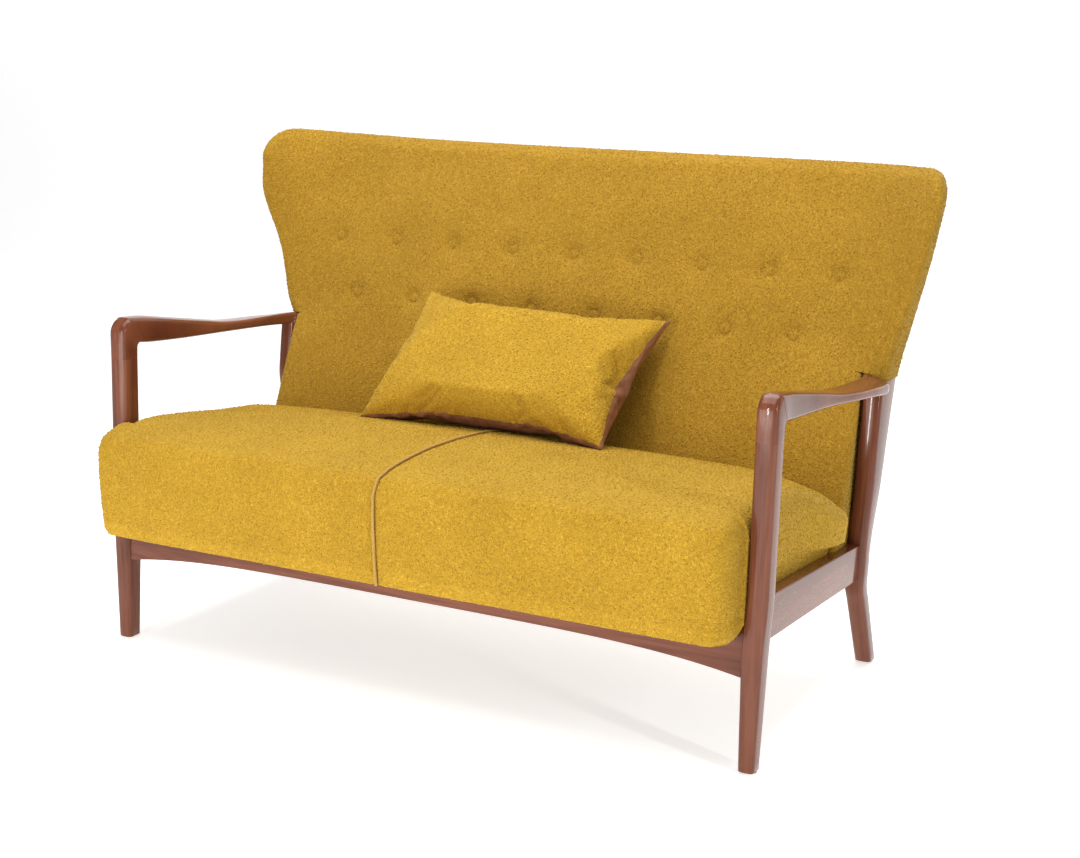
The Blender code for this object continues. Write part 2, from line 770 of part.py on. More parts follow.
# Back: shape of its faces

def back_front(z):
    """Flat front face of the back."""
    return BACK_FRONT_Y + BACK_FRONT_SLOPE * (z - BACK_BASE)


def back_rear(z):
    """Rear face, in line with the rear rail at the bottom."""
    bottom = rear_rail_y() + REAR_RAIL_THICK - 0.002
    return bottom + back_rear_slope() * (z - BACK_BASE)


def back_rear_slope():
    """The back gets thinner towards its top."""
    bottom = rear_rail_y() + REAR_RAIL_THICK - 0.002
    top = back_front(BACK_TOP) + BACK_TOP_THICK
    return (top - bottom) / (BACK_TOP - BACK_BASE)


def wing_curve(x, z):
    """How far the wings come forward at a place on the back."""
    across = clamp((abs(x) - WING_START_X) / (WING_HALF - WING_START_X), 0.0, 1.2)
    up = clamp((z - WING_BASE) / (WING_TOP_Z - WING_BASE))
    ease = up * up * (3 - 2 * up) * 0.4 + up * 0.6
    return WING_FORWARD * across * across * ease


def back_half_width(z):
    """Half width of the back: straight between the posts, wider in the wings."""
    if z < WING_BASE - WING_STEP / 2:
        return BACK_HALF
    up = clamp((z - WING_BASE) / (WING_TOP_Z - WING_BASE))
    return WING_BASE_HALF + (WING_HALF - WING_BASE_HALF) * up


def button_x(row, index):
    """Place of a button along its row; the lower row is staggered."""
    count = UPPER_BUTTONS if row == "upper" else LOWER_BUTTONS
    return BUTTON_MIDDLE_X + (index - (count - 1) / 2) * BUTTON_PITCH


def button_places():
    places = []
    for row, count, z in (
        ("upper", UPPER_BUTTONS, UPPER_ROW_Z), ("lower", LOWER_BUTTONS, LOWER_ROW_Z),
    ):
        for index in range(count):
            places.append((row, button_x(row, index), z))
    return places


def dimple(x, z):
    """Depth that the buttons pull the front face in."""
    depth = 0.0
    for _, at_x, at_z in button_places():
        away = ((x - at_x) ** 2 + (z - at_z) ** 2) / DIMPLE_SPREAD ** 2
        if away < 9:
            depth += DIMPLE_DEPTH * exp(-away)
    return depth


def back_outline(x, z, inset):
    """Real x and z of a cage point, with the wings' width and the rounded ears."""
    size = abs(x)
    half = back_half_width(z) - inset
    edge = half - BACK_ROUND
    if size > NOMINAL_HALF - BACK_ROUND:
        size = half - (NOMINAL_HALF - size)
    elif size > COLUMN_END:
        share = (size - COLUMN_END) / STRETCH
        knee = min(STILE_OUTER, (COLUMN_END + edge) / 2)
        if share < 0.5:
            size = COLUMN_END + (knee - COLUMN_END) * share * 2
        else:
            size = knee + (edge - knee) * (share * 2 - 1)
    if z > BACK_TURN_Z:
        span = BACK_TOP - BACK_TURN_Z
        z = BACK_TURN_Z + (z - BACK_TURN_Z) * (span - inset) / span
    radius = EAR_RADIUS - inset
    over_x = size - (half - radius)
    over_z = z - (BACK_TOP - inset - radius)
    if over_x > 0 and over_z > 0:
        scale = max(over_x, over_z) / hypot(over_x, over_z)
        size += over_x * (scale - 1)
        z += over_z * (scale - 1)
    most = EAR_LIFT_RIGHT if x > 0 else EAR_LIFT_LEFT
    lift = most * clamp(size / WING_HALF) ** 4 * clamp((z - BACK_TOP) / EAR_LIFT_SPAN + 1)
    return (size if x > 0 else -size), z + lift


def outwards(size, z, over_x, over_z, half):
    """Direction out of the back's outline, near its edge."""
    from_ear = (size - (half - EAR_RADIUS), z - (BACK_TOP - EAR_RADIUS))
    if min(from_ear) > 0:
        reach = hypot(*from_ear)
        return from_ear[0] / reach, from_ear[1] / reach
    return (1.0, 0.0) if over_x > over_z else (0.0, 1.0)


def back_place(x, depth, z):
    """Outer surface of the back; depth is 0 on the front face and 1 on the rear face."""
    real_x, real_z = back_outline(x, z, 0.0)
    front = back_front(real_z)
    thick = back_rear(real_z) - front
    half = back_half_width(z)
    radius = BACK_ROUND
    # rounded edges between the front face and the sides and top
    size = abs(real_x)
    from_edge = NOMINAL_HALF - abs(x)
    over_x = max(0.0, radius - from_edge)
    from_top = BACK_TOP - z
    over_z = max(0.0, radius - from_top)
    along = 0.0 if depth == 0.0 else radius
    if depth == 1.0:
        along = thick - RIM_BACK * (1 + wing_curve(real_x, real_z) / WING_FORWARD)
    over_y = max(0.0, radius - along)
    over = max(over_x, over_z)
    length = hypot(over, over_y)
    if length > radius:
        pull = 1 - radius / length
        out_x, out_z = outwards(size, real_z, over_x, over_z, half)
        size -= over * pull * out_x
        real_z -= over * pull * out_z
        along += over_y * pull
    size = min(size, half)
    real_x = size if x > 0 else -size
    y = front + along - wing_curve(real_x, real_z)
    if depth == 0.0:
        y += dimple(real_x, real_z)
    return Vector((real_x, y, real_z))


def back_inner_place(x, depth, z):
    """Inner surface of the padding, round the back's frame."""
    raised = z + BACK_WALL if same(z, WING_BASE) else z
    real_x, real_z = back_outline(x, raised, BACK_WALL)
    if same(z, BACK_BASE):
        real_z = BACK_BASE + COVER + SOFT_FIT + 0.001
    elif same(z, WING_LOW):
        real_z += BACK_WALL
    y = back_rear(real_z) - wing_curve(real_x, real_z)
    share = {0.0: 1.0, 0.5: 0.6, 1.0: 0.0}[depth]
    return Vector((real_x, y - PADDING_RIM - (BACK_LINING - PADDING_RIM) * share, real_z))


def back_padding_place(x, depth, z):
    """Surface under the cover; the padding stops a little before the rear hem."""
    place = back_place(x, depth, z)
    if depth == 1.0:
        place.y -= PADDING_RIM
    return place


def back_levels():
    """Heights at which the back's faces are divided."""
    half_row = (UPPER_ROW_Z - LOWER_ROW_Z) / 2
    return [BACK_BASE, 0.32, 0.42, 0.50, WING_LOW, WING_BASE, LOWER_ROW_Z,
            LOWER_ROW_Z + half_row, UPPER_ROW_Z, UPPER_ROW_Z + half_row,
            UPPER_ROW_Z + 2 * half_row, BACK_TURN_Z, BACK_TOP - BACK_ROUND, BACK_TOP]


def levels_between(low, high):
    """The back's levels from low to high, for a board that follows its rear face."""
    least = 0.012
    inner = [z for z in back_levels() if low + least < z < high - least]
    return [low] + [z for z in inner if not same(z, WING_LOW)] + [high]


def outer_columns():
    """Cage columns from the last button to the edge, on the right."""
    knee = COLUMN_END + STRETCH / 2
    return [knee, knee + STRETCH / 4, COLUMN_END + STRETCH, NOMINAL_HALF]


def back_cage():
    """Cage of the back, without its rear face. The middle value of depth is the edge."""
    columns = UPPER_BUTTONS * 2 - 1
    middle = [BUTTON_MIDDLE_X + (i - (columns - 1) / 2) * BUTTON_PITCH / 2 for i in range(columns)]
    outer = outer_columns()
    xs = [-value for value in reversed(outer)] + middle + outer
    return cage(xs, (0.0, 0.5, 1.0), back_levels(), lambda middle: middle.y > 0.999)


def back_upholstery():
    """Cover and padding, one inside the other."""
    cover = add("back_cover", shape(back_cage(), back_place), BOUCLE)
    thicken(cover, COVER)
    shell = lining(back_cage(), back_padding_place, back_inner_place, COVER + SOFT_FIT)
    padding = add("back_padding", shell, PADDING)
    return cover, padding


def outside_cover():
    """Flat-sewn cloth over the back's rear."""
    def place(x, _, z):
        real_x, real_z = back_outline(x, z, 0.0)
        y = back_rear(real_z) + SOFT_FIT + COVER - wing_curve(real_x, real_z)
        return Vector((real_x, y, real_z))

    right = [WING_START_X, COLUMN_END, *outer_columns()]
    xs = [-value for value in reversed(right)] + [0.0] + right
    sheet = shape(cage(xs, (0.0, 1.0), back_levels(), lambda middle: middle.y < 0.999), place)
    return thicken(add("back_outside_cover", sheet, BOUCLE), COVER)


def leaning_board(name, x_values, z_values):
    """A board of the back's frame, which follows the rear face and the wings."""
    bm = cage(x_values, (0.0, 1.0), z_values, lambda middle: False)

    def place(x, share, z):
        depth = BACK_FRAME_DEPTH + (BACK_FRAME_GAP - BACK_FRAME_DEPTH) * share
        return Vector((x, back_rear(z) - depth - wing_curve(x, z), z))

    return add(name, shape(bm, place), HIDDEN_WOOD, smooth=False)


def back_frame():
    """Two stiles, three rails and the two formers that shape the wings."""
    base = BACK_BASE + COVER + 2 * SOFT_FIT + 0.001
    top = BACK_TOP - BACK_WALL - 0.006
    stiles = []
    for side, side_name in both_sides():
        xs = sorted((side * STILE_INNER, side * STILE_OUTER))
        stiles.append(leaning_board(f"back_stile_{side_name}", xs, levels_between(base, top)))
        wing_former(f"wing_former_{side_name}", side, top)
    span = STILE_INNER - FIT
    for name, low in (
        ("back_bottom_rail", base),
        ("back_middle_rail", MIDDLE_RAIL_Z),
        ("back_top_rail", top - BACK_RAIL_HEIGHT),
    ):
        xs = (-span, -COLUMN_END, -WING_START_X, WING_START_X, COLUMN_END, span)
        rail = leaning_board(name, xs, levels_between(low, low + BACK_RAIL_HEIGHT))
        z = low + BACK_RAIL_HEIGHT / 2
        y = back_rear(z) - BACK_FRAME_DEPTH / 2 - wing_curve(span, z)
        half = TENON_THICK / 2
        for side, stile in zip((-1, 1), stiles):
            tenon_joint(rail, stile,
                        (side * (span - TENON_OVERLAP), y - half, z - TENON_THICK),
                        (side * (span + STILE_TENON), y + half, z + TENON_THICK))
    return stiles


def wing_former(name, side, top):
    """Sawn former glued to a stile; its outer edge follows the wing."""
    inset = BACK_WALL + 0.0022
    inner = STILE_OUTER + FIT
    zs = levels_between(WING_BASE + BACK_WALL + 0.004, top)
    bm = cage((0.0, 0.5, 1.0), (0.0, 1.0), zs, lambda middle: False)

    def place(share, back, z):
        radius = EAR_RADIUS - inset
        half = back_half_width(z) - inset
        over = z - (BACK_TOP - inset - radius)
        if over > 0:
            half -= radius - max(0.0, radius * radius - over * over) ** 0.5
        x = inner + (half - inner) * share
        depth = BACK_FRAME_DEPTH + (BACK_FRAME_GAP - BACK_FRAME_DEPTH) * back
        return Vector((side * x, back_rear(z) - depth - wing_curve(x, z), z))

    return add(name, shape(bm, place), HIDDEN_WOOD, smooth=False)


def webbing(name, runs, look):
    """Jute straps, the second set laid over the first and stitched where they cross.

    Each set is a list of boxes in a plane, each given by its low and high corner.
    """
    below, above = runs
    bm = bmesh.new()
    for low, high in below:
        add_box(bm, low, high)
    straps = add(name, bm, look, smooth=False)

    def others(bm):
        for low, high in above:
            add_box(bm, low, high)

    join(straps, name, others)
    return straps


def seat_webbing():
    """Straps under the springs, tacked to the underside of the seat frame."""
    high = FRAME_BASE - FIT
    middle = high - STRAP_THICK
    stitch = STRAP_THICK * 0.3
    half = STRAP_WIDTH / 2
    side_x = frame_x_outer() - 0.002
    y_low = frame_front_y() + FRAME_THICK + 0.002
    y_high = frame_rear_y() - 0.002
    across = [((-side_x, y - half, middle), (side_x, y + half, high)) for y in SPRING_ROWS]
    along = []
    for x in SPRING_COLUMNS:
        low_corner = (x - half, y_low, middle - STRAP_THICK + stitch)
        along.append((low_corner, (x + half, y_high, middle + stitch)))
    return webbing("seat_webbing", (across, along), JUTE)


def back_webbing():
    """Straps on the front of the back's frame, modelled upright and then leant back."""
    half = STRAP_WIDTH / 2
    stitch = STRAP_THICK * 0.3
    low = BACK_BASE + 0.016
    high = BACK_TOP - BACK_WALL - 0.018
    span = (STILE_INNER + STILE_OUTER) / 2
    rise = hypot(1, back_rear_slope())
    length = (high - low) * rise
    along = [((x - half, -STRAP_THICK, 0), (x + half, 0, length)) for x in BACK_STRAPS]
    across = []
    for z in BACK_STRAP_ROWS:
        start = (z - low) * rise - half
        across.append(((-span, -2 * STRAP_THICK + stitch, start),
                       (span, -STRAP_THICK + stitch, start + STRAP_WIDTH)))
    straps = webbing("back_webbing", (along, across), JUTE)
    place = Matrix.Translation((0, back_rear(low) - BACK_FRAME_DEPTH - FIT * rise, low))
    lean = Matrix.Rotation(-atan(back_rear_slope()), 4, "X")
    straps.matrix_world = place @ lean
    bpy.data.objects["back_webbing_joined"].matrix_world = place @ lean
    return straps


def back_bolts(side, side_name, stile, post, cover, padding):
    """Bolts from inside the stile through the upholstery into the post."""
    start_x = side * (STILE_INNER - FIT)
    end_x = side * (INNER_HALF + LEG_WIDTH * 0.62)
    length = abs(end_x - start_x)
    profile = ((-BOLT_HEAD_HEIGHT, BOLT_HEAD_RADIUS), (0, BOLT_HEAD_RADIUS), (0, BOLT_RADIUS),
               (length, BOLT_RADIUS))
    for place, z in zip(("lower", "upper"), BOLT_HEIGHTS):
        y = back_rear(z) - BACK_FRAME_DEPTH / 2
        start = Vector((start_x, y, z))
        end = Vector((end_x, y, z))
        name = f"back_bolt_{place}_{side_name}"
        bm = bmesh.new()
        add_turned(bm, profile, aim(start, end))
        add(name, bm, STEEL)
        bore((stile, padding, cover, post), name, start, end, BOLT_RADIUS)


def back_normal(x, z):
    """Direction straight out of the front face, dimples left out."""
    step = 0.01
    across = (wing_curve(x - step, z) - wing_curve(x + step, z)) / (2 * step)
    up = (wing_curve(x, z - step) - wing_curve(x, z + step)) / (2 * step)
    return Vector((across, -1, BACK_FRONT_SLOPE + up)).normalized()


def button_row(row, cover, padding):
    """Covered buttons on one running twine, each pulled into its dimple.

    The twine runs across behind the padding, and a loop of it goes forward through padding
    and cover to each button.
    """
    rise = DIMPLE_DEPTH * BUTTON_RADIUS / (BUTTON_PITCH / 2)
    high = BUTTON_HEIGHT
    seats = []
    ends = []
    for x, z in [(x, z) for wanted, x, z in button_places() if wanted == row]:
        normal = back_normal(x, z)
        seat = back_place(x, 0.0, z) + normal * (rise + 4 * FIT)
        run_y = back_rear(seat.z) - TWINE_DEPTH - wing_curve(seat.x, seat.z)
        reach = (run_y - seat.y) / (-normal.y + normal.z * back_rear_slope())
        seats.append(seat)
        ends.append(seat - normal * reach)
    first = ends[0] - Vector((BUTTON_RADIUS, 0, 0))
    last = ends[-1] + Vector((BUTTON_RADIUS, 0, 0))
    twine = tube(f"button_row_{row}", [first, *ends, last], TWINE_RADIUS, 0)
    item = as_mesh(twine, BOUCLE)

    def loops_and_buttons(bm):
        for seat, end in zip(seats, ends):
            length = (seat - end).length
            profile = (
                (0, TWINE_RADIUS * 0.9), (length, TWINE_RADIUS * 0.9),
                (length, BUTTON_RADIUS * 0.96), (length + high * 0.45, BUTTON_RADIUS),
                (length + high * 0.85, BUTTON_RADIUS * 0.68), (length + high, BUTTON_RADIUS * 0.28),
            )
            add_turned(bm, profile, aim(end, seat))

    def holes(bm):
        for seat, end in zip(seats, ends):
            radius = TWINE_RADIUS + FIT
            length = (seat - end).length
            add_turned(bm, ((0, radius), (length + FIT, radius)), aim(end, seat), 6)

    join(item, item.name, loops_and_buttons)
    cut(cover, f"{item.name}_in_cover", holes)
    cut(padding, f"{item.name}_in_padding", holes)
    return item


# Seat

def seat_top(x, y):
    """Crowned top of the seat."""
    drop = SEAT_SIDE_DROP * (x / INNER_HALF) ** 2 * clamp(y / SEAT_DROP_RUN)
    return SEAT_TOP - SEAT_FALL * (y - SEAT_PEAK_Y) ** 2 - drop


def seat_rear(z):
    return back_front(z) - SOFT_FIT


STEP_FRONT = LEG_FRONT - 0.0035
STEP_REAR = LEG_FRONT - 0.0005
SEAT_REAR_NOMINAL = seat_rear(SEAT_TOP)
SEAT_CAGE_RISE = SEAT_TOP - BORDER_BASE


def seat_side(x, y):
    """Where the seat's side lies: flush between the legs, further out in the border."""
    if y > STEP_FRONT + 1e-5:
        return SEAT_INNER
    return INNER_HALF + (BORDER_RIGHT if x > 0 else BORDER_LEFT)


def seat_place(x, y, z):
    """Outer surface of the seat from a box cage."""
    in_front = y < SEAT_MIDDLE_Y
    radius_y = SEAT_ROUND if in_front else SEAT_REAR_ROUND
    from_end = y - SEAT_FRONT if in_front else SEAT_REAR_NOMINAL - y
    straight = SEAT_INNER - SEAT_SIDE_ROUND
    over = Vector((
        max(0.0, abs(x) - straight) / SEAT_SIDE_ROUND,
        max(0.0, radius_y - from_end) / radius_y,
        max(0.0, z - (SEAT_TOP - SEAT_TOP_ROUND)) / SEAT_TOP_ROUND,
    ))
    real_x, real_y, real_z = abs(x), y, z
    if over.length > 1:
        pull = 1 - 1 / over.length
        real_x -= over.x * pull * SEAT_SIDE_ROUND
        real_y += over.y * pull * radius_y * (1 if in_front else -1)
        real_z -= over.z * pull * SEAT_TOP_ROUND
    if abs(x) > straight - 1e-5:
        real_x += seat_side(x, y) - SEAT_INNER
    base = SEAT_BASE if y > STEP_FRONT + 1e-5 else BORDER_BASE
    share = clamp((real_z - base) / (SEAT_TOP - base))
    real_z = base + (seat_top(real_x, real_y) - base) * share
    lean = 1 - sin(pi / 2 * clamp((real_z - BORDER_BASE) / 0.13))
    front_weight = clamp((STEP_FRONT - y) / (STEP_FRONT - SEAT_FRONT))
    rear_weight = clamp((y - 0.26) / (SEAT_REAR_NOMINAL - 0.26))
    real_y += SEAT_FRONT_LEAN * lean * front_weight
    real_y += (seat_rear(real_z) - SEAT_REAR_NOMINAL) * rear_weight
    return Vector((real_x if x > 0 else -real_x, real_y, real_z))


def at_side_hem(x, y, z):
    """Whether a cage point lies on the hem of the seat's sides or rear."""
    if not same(z, SEAT_BASE):
        return False
    return y > STEP_REAR + 1e-5 or (same(y, STEP_REAR) and abs(x) > SEAT_INNER - 1e-5)


def seat_padding_place(x, y, z):
    """Surface under the cover; the padding stops a little above the cover's hem."""
    place = seat_place(x, y, z)
    if at_side_hem(x, y, z):
        place.z += PADDING_HEM
    return place


def seat_inner_place(x, y, z):
    """Inner surface of the seat's padding, round the frame and over the hessian."""
    edge = SEAT_INNER - SEAT_WALL
    real_x = min(abs(x), edge) if abs(x) > SEAT_INNER - 1e-5 else min(abs(x), edge - 0.0007)
    real_x = real_x if x > 0 else -real_x
    rise = clamp((z - SEAT_BASE) / (SEAT_TOP - SEAT_BASE))
    real_z = SEAT_BASE + (HESSIAN_TOP + SOFT_FIT - SEAT_BASE) * rise
    if z < BORDER_BASE + 1e-5:
        real_z = BORDER_BASE + COVER + SOFT_FIT + 0.0015
    elif at_side_hem(x, y, z):
        real_z += PADDING_HEM
    front = frame_front_y() - SOFT_FIT
    step = STEP_FRONT - 0.0040
    rear = seat_rear(real_z) - SEAT_WALL
    if y <= STEP_FRONT + 1e-5:
        share = (y - SEAT_FRONT) / (STEP_FRONT - SEAT_FRONT)
        real_y = front + (step - front) * share
    else:
        share = (y - STEP_REAR) / (SEAT_REAR_NOMINAL - STEP_REAR)
        real_y = step + 0.0010 + (rear - step - 0.0010) * share
    return Vector((real_x, real_y, real_z))


def seat_cage():
    """Cage of the seat. It has no underside behind the border."""
    round_x = SEAT_INNER - SEAT_SIDE_ROUND
    outer = [round_x, SEAT_INNER - SEAT_SIDE_ROUND / 2, SEAT_INNER]
    middle = [share * INNER_HALF for share in (0.33, 0.626)]
    xs = [-value for value in reversed(middle + outer)] + [SEAM_X] + middle + outer
    ys = [SEAT_FRONT, SEAT_FRONT + SEAT_ROUND * 0.42, SEAT_FRONT + SEAT_ROUND,
          STEP_FRONT, STEP_REAR, 0.06, SEAT_MIDDLE_Y - 0.005, 0.26, 0.36,
          SEAT_REAR_NOMINAL - SEAT_REAR_ROUND, SEAT_REAR_NOMINAL]
    round_z = SEAT_TOP - SEAT_TOP_ROUND
    zs = [BORDER_BASE, SEAT_BASE, 0.31, round_z, SEAT_TOP - SEAT_TOP_ROUND * 0.42, SEAT_TOP]

    def dropped(middle):
        # behind the border the cage starts at the seat's base
        return middle.z < SEAT_BASE - 1e-5 and middle.y > STEP_REAR - 1e-5

    bm = cage(xs, ys, zs, dropped)
    loose = [vert for vert in bm.verts if not vert.link_faces]
    bmesh.ops.delete(bm, geom=loose, context="VERTS")
    # the border's underside turns up behind it, in front of the legs
    for vert in bm.verts:
        if same(vert.co.y, STEP_REAR) and same(vert.co.z, BORDER_BASE):
            vert.co.z = SEAT_BASE
    bmesh.ops.remove_doubles(bm, verts=bm.verts, dist=1e-6)
    return bm


def frame_x_outer():
    return SEAT_INNER - SEAT_WALL - SOFT_FIT


def frame_front_y():
    return SEAT_FRONT + BORDER_WALL


def frame_rear_y():
    return seat_rear(FRAME_BASE) - SEAT_WALL - SOFT_FIT


def seat_upholstery():
    """Cover and padding, one inside the other."""
    cover = add("seat_cover", shape(seat_cage(), seat_place), BOUCLE)
    thicken(cover, COVER)
    shell = lining(seat_cage(), seat_padding_place, seat_inner_place, COVER + SOFT_FIT)
    add("seat_padding", shell, PADDING)
    return cover


def seat_frame():
    """Frame of four boards and a middle bearer, tenoned together."""
    x = frame_x_outer()
    front = frame_front_y()
    rear = frame_rear_y()
    low = BORDER_BASE + COVER + SOFT_FIT + 0.0018
    front_board = box("seat_frame_front", (-x, front, low), (x, front + FRAME_THICK, FRAME_TOP),
                      HIDDEN_WOOD)
    back_board = box("seat_frame_back", (-x, rear - FRAME_THICK, FRAME_BASE),
                     (x, rear, FRAME_TOP), HIDDEN_WOOD)
    start = front + FRAME_THICK + FIT
    end = rear - FRAME_THICK - FIT
    boards = []
    for name, middle, height in (
        ("seat_frame_left", -(x - FRAME_THICK / 2), FRAME_HEIGHT),
        ("seat_frame_right", x - FRAME_THICK / 2, FRAME_HEIGHT),
        ("seat_frame_bearer", 0.0, BEARER_HEIGHT),
    ):
        half = FRAME_THICK / 2
        board = box(name, (middle - half, start, FRAME_BASE),
                    (middle + half, end, FRAME_BASE + height), HIDDEN_WOOD)
        boards.append(board)
        half = TENON_THICK / 2
        tenon_low = FRAME_BASE + height / 2 - TENON_THICK
        tenon_high = FRAME_BASE + height / 2 + TENON_THICK
        reach = FRAME_THICK * 0.6
        for post, y_low, y_high in (
            (front_board, start - reach, start + TENON_OVERLAP),
            (back_board, end - TENON_OVERLAP, end + reach),
        ):
            tenon_joint(board, post, (middle - half, y_low, tenon_low),
                        (middle + half, y_high, tenon_high))
    return boards


def tube(name, points, radius, resolution):
    """Round wire or cord through points."""
    curve = bpy.data.curves.new(name, "CURVE")
    curve.dimensions = "3D"
    curve.bevel_depth = radius
    curve.bevel_resolution = resolution
    curve.use_fill_caps = True
    spline = curve.splines.new("POLY")
    spline.points.add(len(points) - 1)
    for target, point in zip(spline.points, points):
        target.co = (*point, 1.0)
    item = bpy.data.objects.new(name, curve)
    parts.objects.link(item)
    return item


def as_mesh(item, look):
    """Turn a tube into a mesh, so that it can be joined and cut."""
    name = item.name
    bpy.context.view_layer.update()
    done = item.evaluated_get(bpy.context.evaluated_depsgraph_get())
    mesh = bpy.data.meshes.new_from_object(done)
    curve = item.data
    bpy.data.objects.remove(item)
    bpy.data.curves.remove(curve)
    bm = bmesh.new()
    bm.from_mesh(mesh)
    bpy.data.meshes.remove(mesh)
    bmesh.ops.remove_doubles(bm, verts=bm.verts, dist=0.00001)
    return add(name, bm, look)


def seat_springs():
    """Spring unit of one continuous wire: up one waisted coil, across, and down the next."""
    low = FRAME_BASE + FIT + SPRING_WIRE
    high = SPRING_HEIGHT - FIT - SPRING_WIRE
    places = [(x, SPRING_ROWS[0]) for x in SPRING_COLUMNS]
    places += [(x, SPRING_ROWS[1]) for x in reversed(SPRING_COLUMNS)]
    steps = int(SPRING_TURNS * 8)
    points = []
    for index, (x, y) in enumerate(places):
        first = pi if y == SPRING_ROWS[0] else 0.0
        for step in range(steps + 1):
            share = step / steps
            radius = SPRING_RADIUS + (SPRING_WAIST - SPRING_RADIUS) * sin(pi * share)
            climb = share - 0.11 * sin(2 * pi * share)
            level = 1 - climb if index % 2 == 0 else climb
            angle = first + 2 * pi * SPRING_TURNS * share
            points.append((x + radius * cos(angle), y + radius * sin(angle),
                           low + (high - low) * level))
    item = tube("seat_springs", points, SPRING_WIRE, 0)
    item.data.materials.append(make_material("seat_springs", *STEEL))
    return item


def seat_hessian():
    """Cloth over the springs."""
    x = SEAT_INNER - SEAT_WALL - 2 * SOFT_FIT
    rear = seat_rear(SEAT_BASE) + BACK_FRONT_SLOPE * (SPRING_HEIGHT - SEAT_BASE) * 0.4
    low = (-x, frame_front_y() + 0.001, SPRING_HEIGHT)
    return box("seat_hessian", low, (x, rear - SEAT_WALL - 0.001, HESSIAN_TOP), JUTE)


def seat_dust_cover():
    """Black cloth under the webbing."""
    x = frame_x_outer()
    low = (-x, front_rail_y(), SEAT_BASE)
    rear = seat_rear(SEAT_BASE) - SEAT_WALL - SOFT_FIT
    return box("seat_dust_cover", low, (x, rear, SEAT_BASE + DUST_COVER), BLACK_CLOTH)


def seat_piping():
    """Cord along the seam from the border's lower edge to the back."""
    rows = [(SEAT_FRONT, z) for z in (BORDER_BASE, SEAT_BASE, 0.31, SEAT_TOP - SEAT_TOP_ROUND,
                                      SEAT_TOP - SEAT_TOP_ROUND * 0.42, SEAT_TOP)]
    rows += [(y, SEAT_TOP) for y in (
        SEAT_FRONT + SEAT_ROUND * 0.42, SEAT_FRONT + SEAT_ROUND, STEP_FRONT, STEP_REAR, 0.06,
        SEAT_MIDDLE_Y - 0.005, 0.26, 0.36, SEAT_REAR_NOMINAL - SEAT_REAR_ROUND - 0.008)]
    line = [seat_place(SEAM_X, y, z) for y, z in rows]
    lift = PIPING_RADIUS + FIT
    points = []
    for index, place in enumerate(line):
        before = line[max(0, index - 1)]
        after = line[min(len(line) - 1, index + 1)]
        along = (after - before).normalized()
        normal = Vector((0, -along.z, along.y))
        bend = 1.0
        if 0 < index < len(line) - 1:
            first = (place - before).normalized()
            second = (after - place).normalized()
            bend = 1 / max(0.7, cos(first.angle(second) / 2))
        points.append(place + normal * lift * bend)
    item = tube("seat_piping", points, PIPING_RADIUS, 1)
    item.data.materials.append(make_material("seat_piping", (0.50, 0.33, 0.09), 0.9))
    return item


# Scatter cushion, modelled flat with its front upwards and leant on the back afterwards

def cushion_place(u, v, face):
    """A point of the cushion: u and v run from -1 to 1, face is 1 in front and -1 behind."""
    x = u * (CUSHION_WIDTH / 2 - CUSHION_DRAW_IN * (1 - v * v))
    y = v * (CUSHION_HEIGHT / 2 - CUSHION_DRAW_IN * (1 - u * u))
    swell = (max(0.0, 1 - u ** 4) * max(0.0, 1 - v ** 4)) ** 0.55
    swell *= 0.80 + 0.20 * (1 - u * u) * (1 - v * v)
    edge = CUSHION_SEAM / 2
    z = edge + (CUSHION_THICK / 2 - edge) * swell
    return Vector((x, y, face * z))


def cushion_cage(ws, dropped):
    us = (-1.0, -0.93, -0.75, -0.5, -0.25, 0.0, 0.25, 0.5, 0.75, 0.93, 1.0)
    vs = (-1.0, -0.88, -0.60, -0.2, 0.2, 0.60, 0.88, 1.0)
    return cage(us, vs, ws, dropped)


def cushion_shell(name, face, look):
    """One face of the cover with the narrow band beside the seam."""
    def place(u, v, w):
        point = cushion_place(u, v, face)
        if w == 0.0:
            point.z = face * FIT / 2
        return point

    ws = (0.0, 1.0) if face > 0 else (-1.0, 0.0)
    bm = shape(cushion_cage(ws, lambda middle: abs(middle.z) < 0.001), place)
    return thicken(add(name, bm, look), CUSHION_CLOTH)


def cushion_filling():
    """Pad inside the two covers."""
    def place(u, v, w):
        point = cushion_place(u, v, 1 if w > 0 else -1)
        if abs(w) < 0.5:
            point.z = 0.0
        return point

    bm = shape(cushion_cage((-1.0, 0.0, 1.0), lambda middle: False), place)
    return add("cushion_filling", sink(bm, CUSHION_CLOTH + SOFT_FIT), PADDING)


def world_tree(item):
    """Search tree of an object's finished mesh, in world space, and its points."""
    graph = bpy.context.evaluated_depsgraph_get()
    done = item.evaluated_get(graph)
    mesh = done.to_mesh()
    points = [item.matrix_world @ vert.co for vert in mesh.vertices]
    faces = [tuple(face.vertices) for face in mesh.polygons]
    done.to_mesh_clear()
    return BVHTree.FromPolygons(points, faces), points


def least_gap(mover, fixed, direction):
    """Smallest distance that mover can go along direction before it meets fixed."""
    mover_tree, mover_points = world_tree(mover)
    fixed_tree, fixed_points = world_tree(fixed)
    gaps = []
    for tree, points, way in (
        (fixed_tree, mover_points, direction), (mover_tree, fixed_points, -direction),
    ):
        for point in points:
            hit = tree.ray_cast(point - way * 0.2, way)
            if hit[0] is not None:
                gaps.append(hit[3] - 0.2)
    return min(gaps)


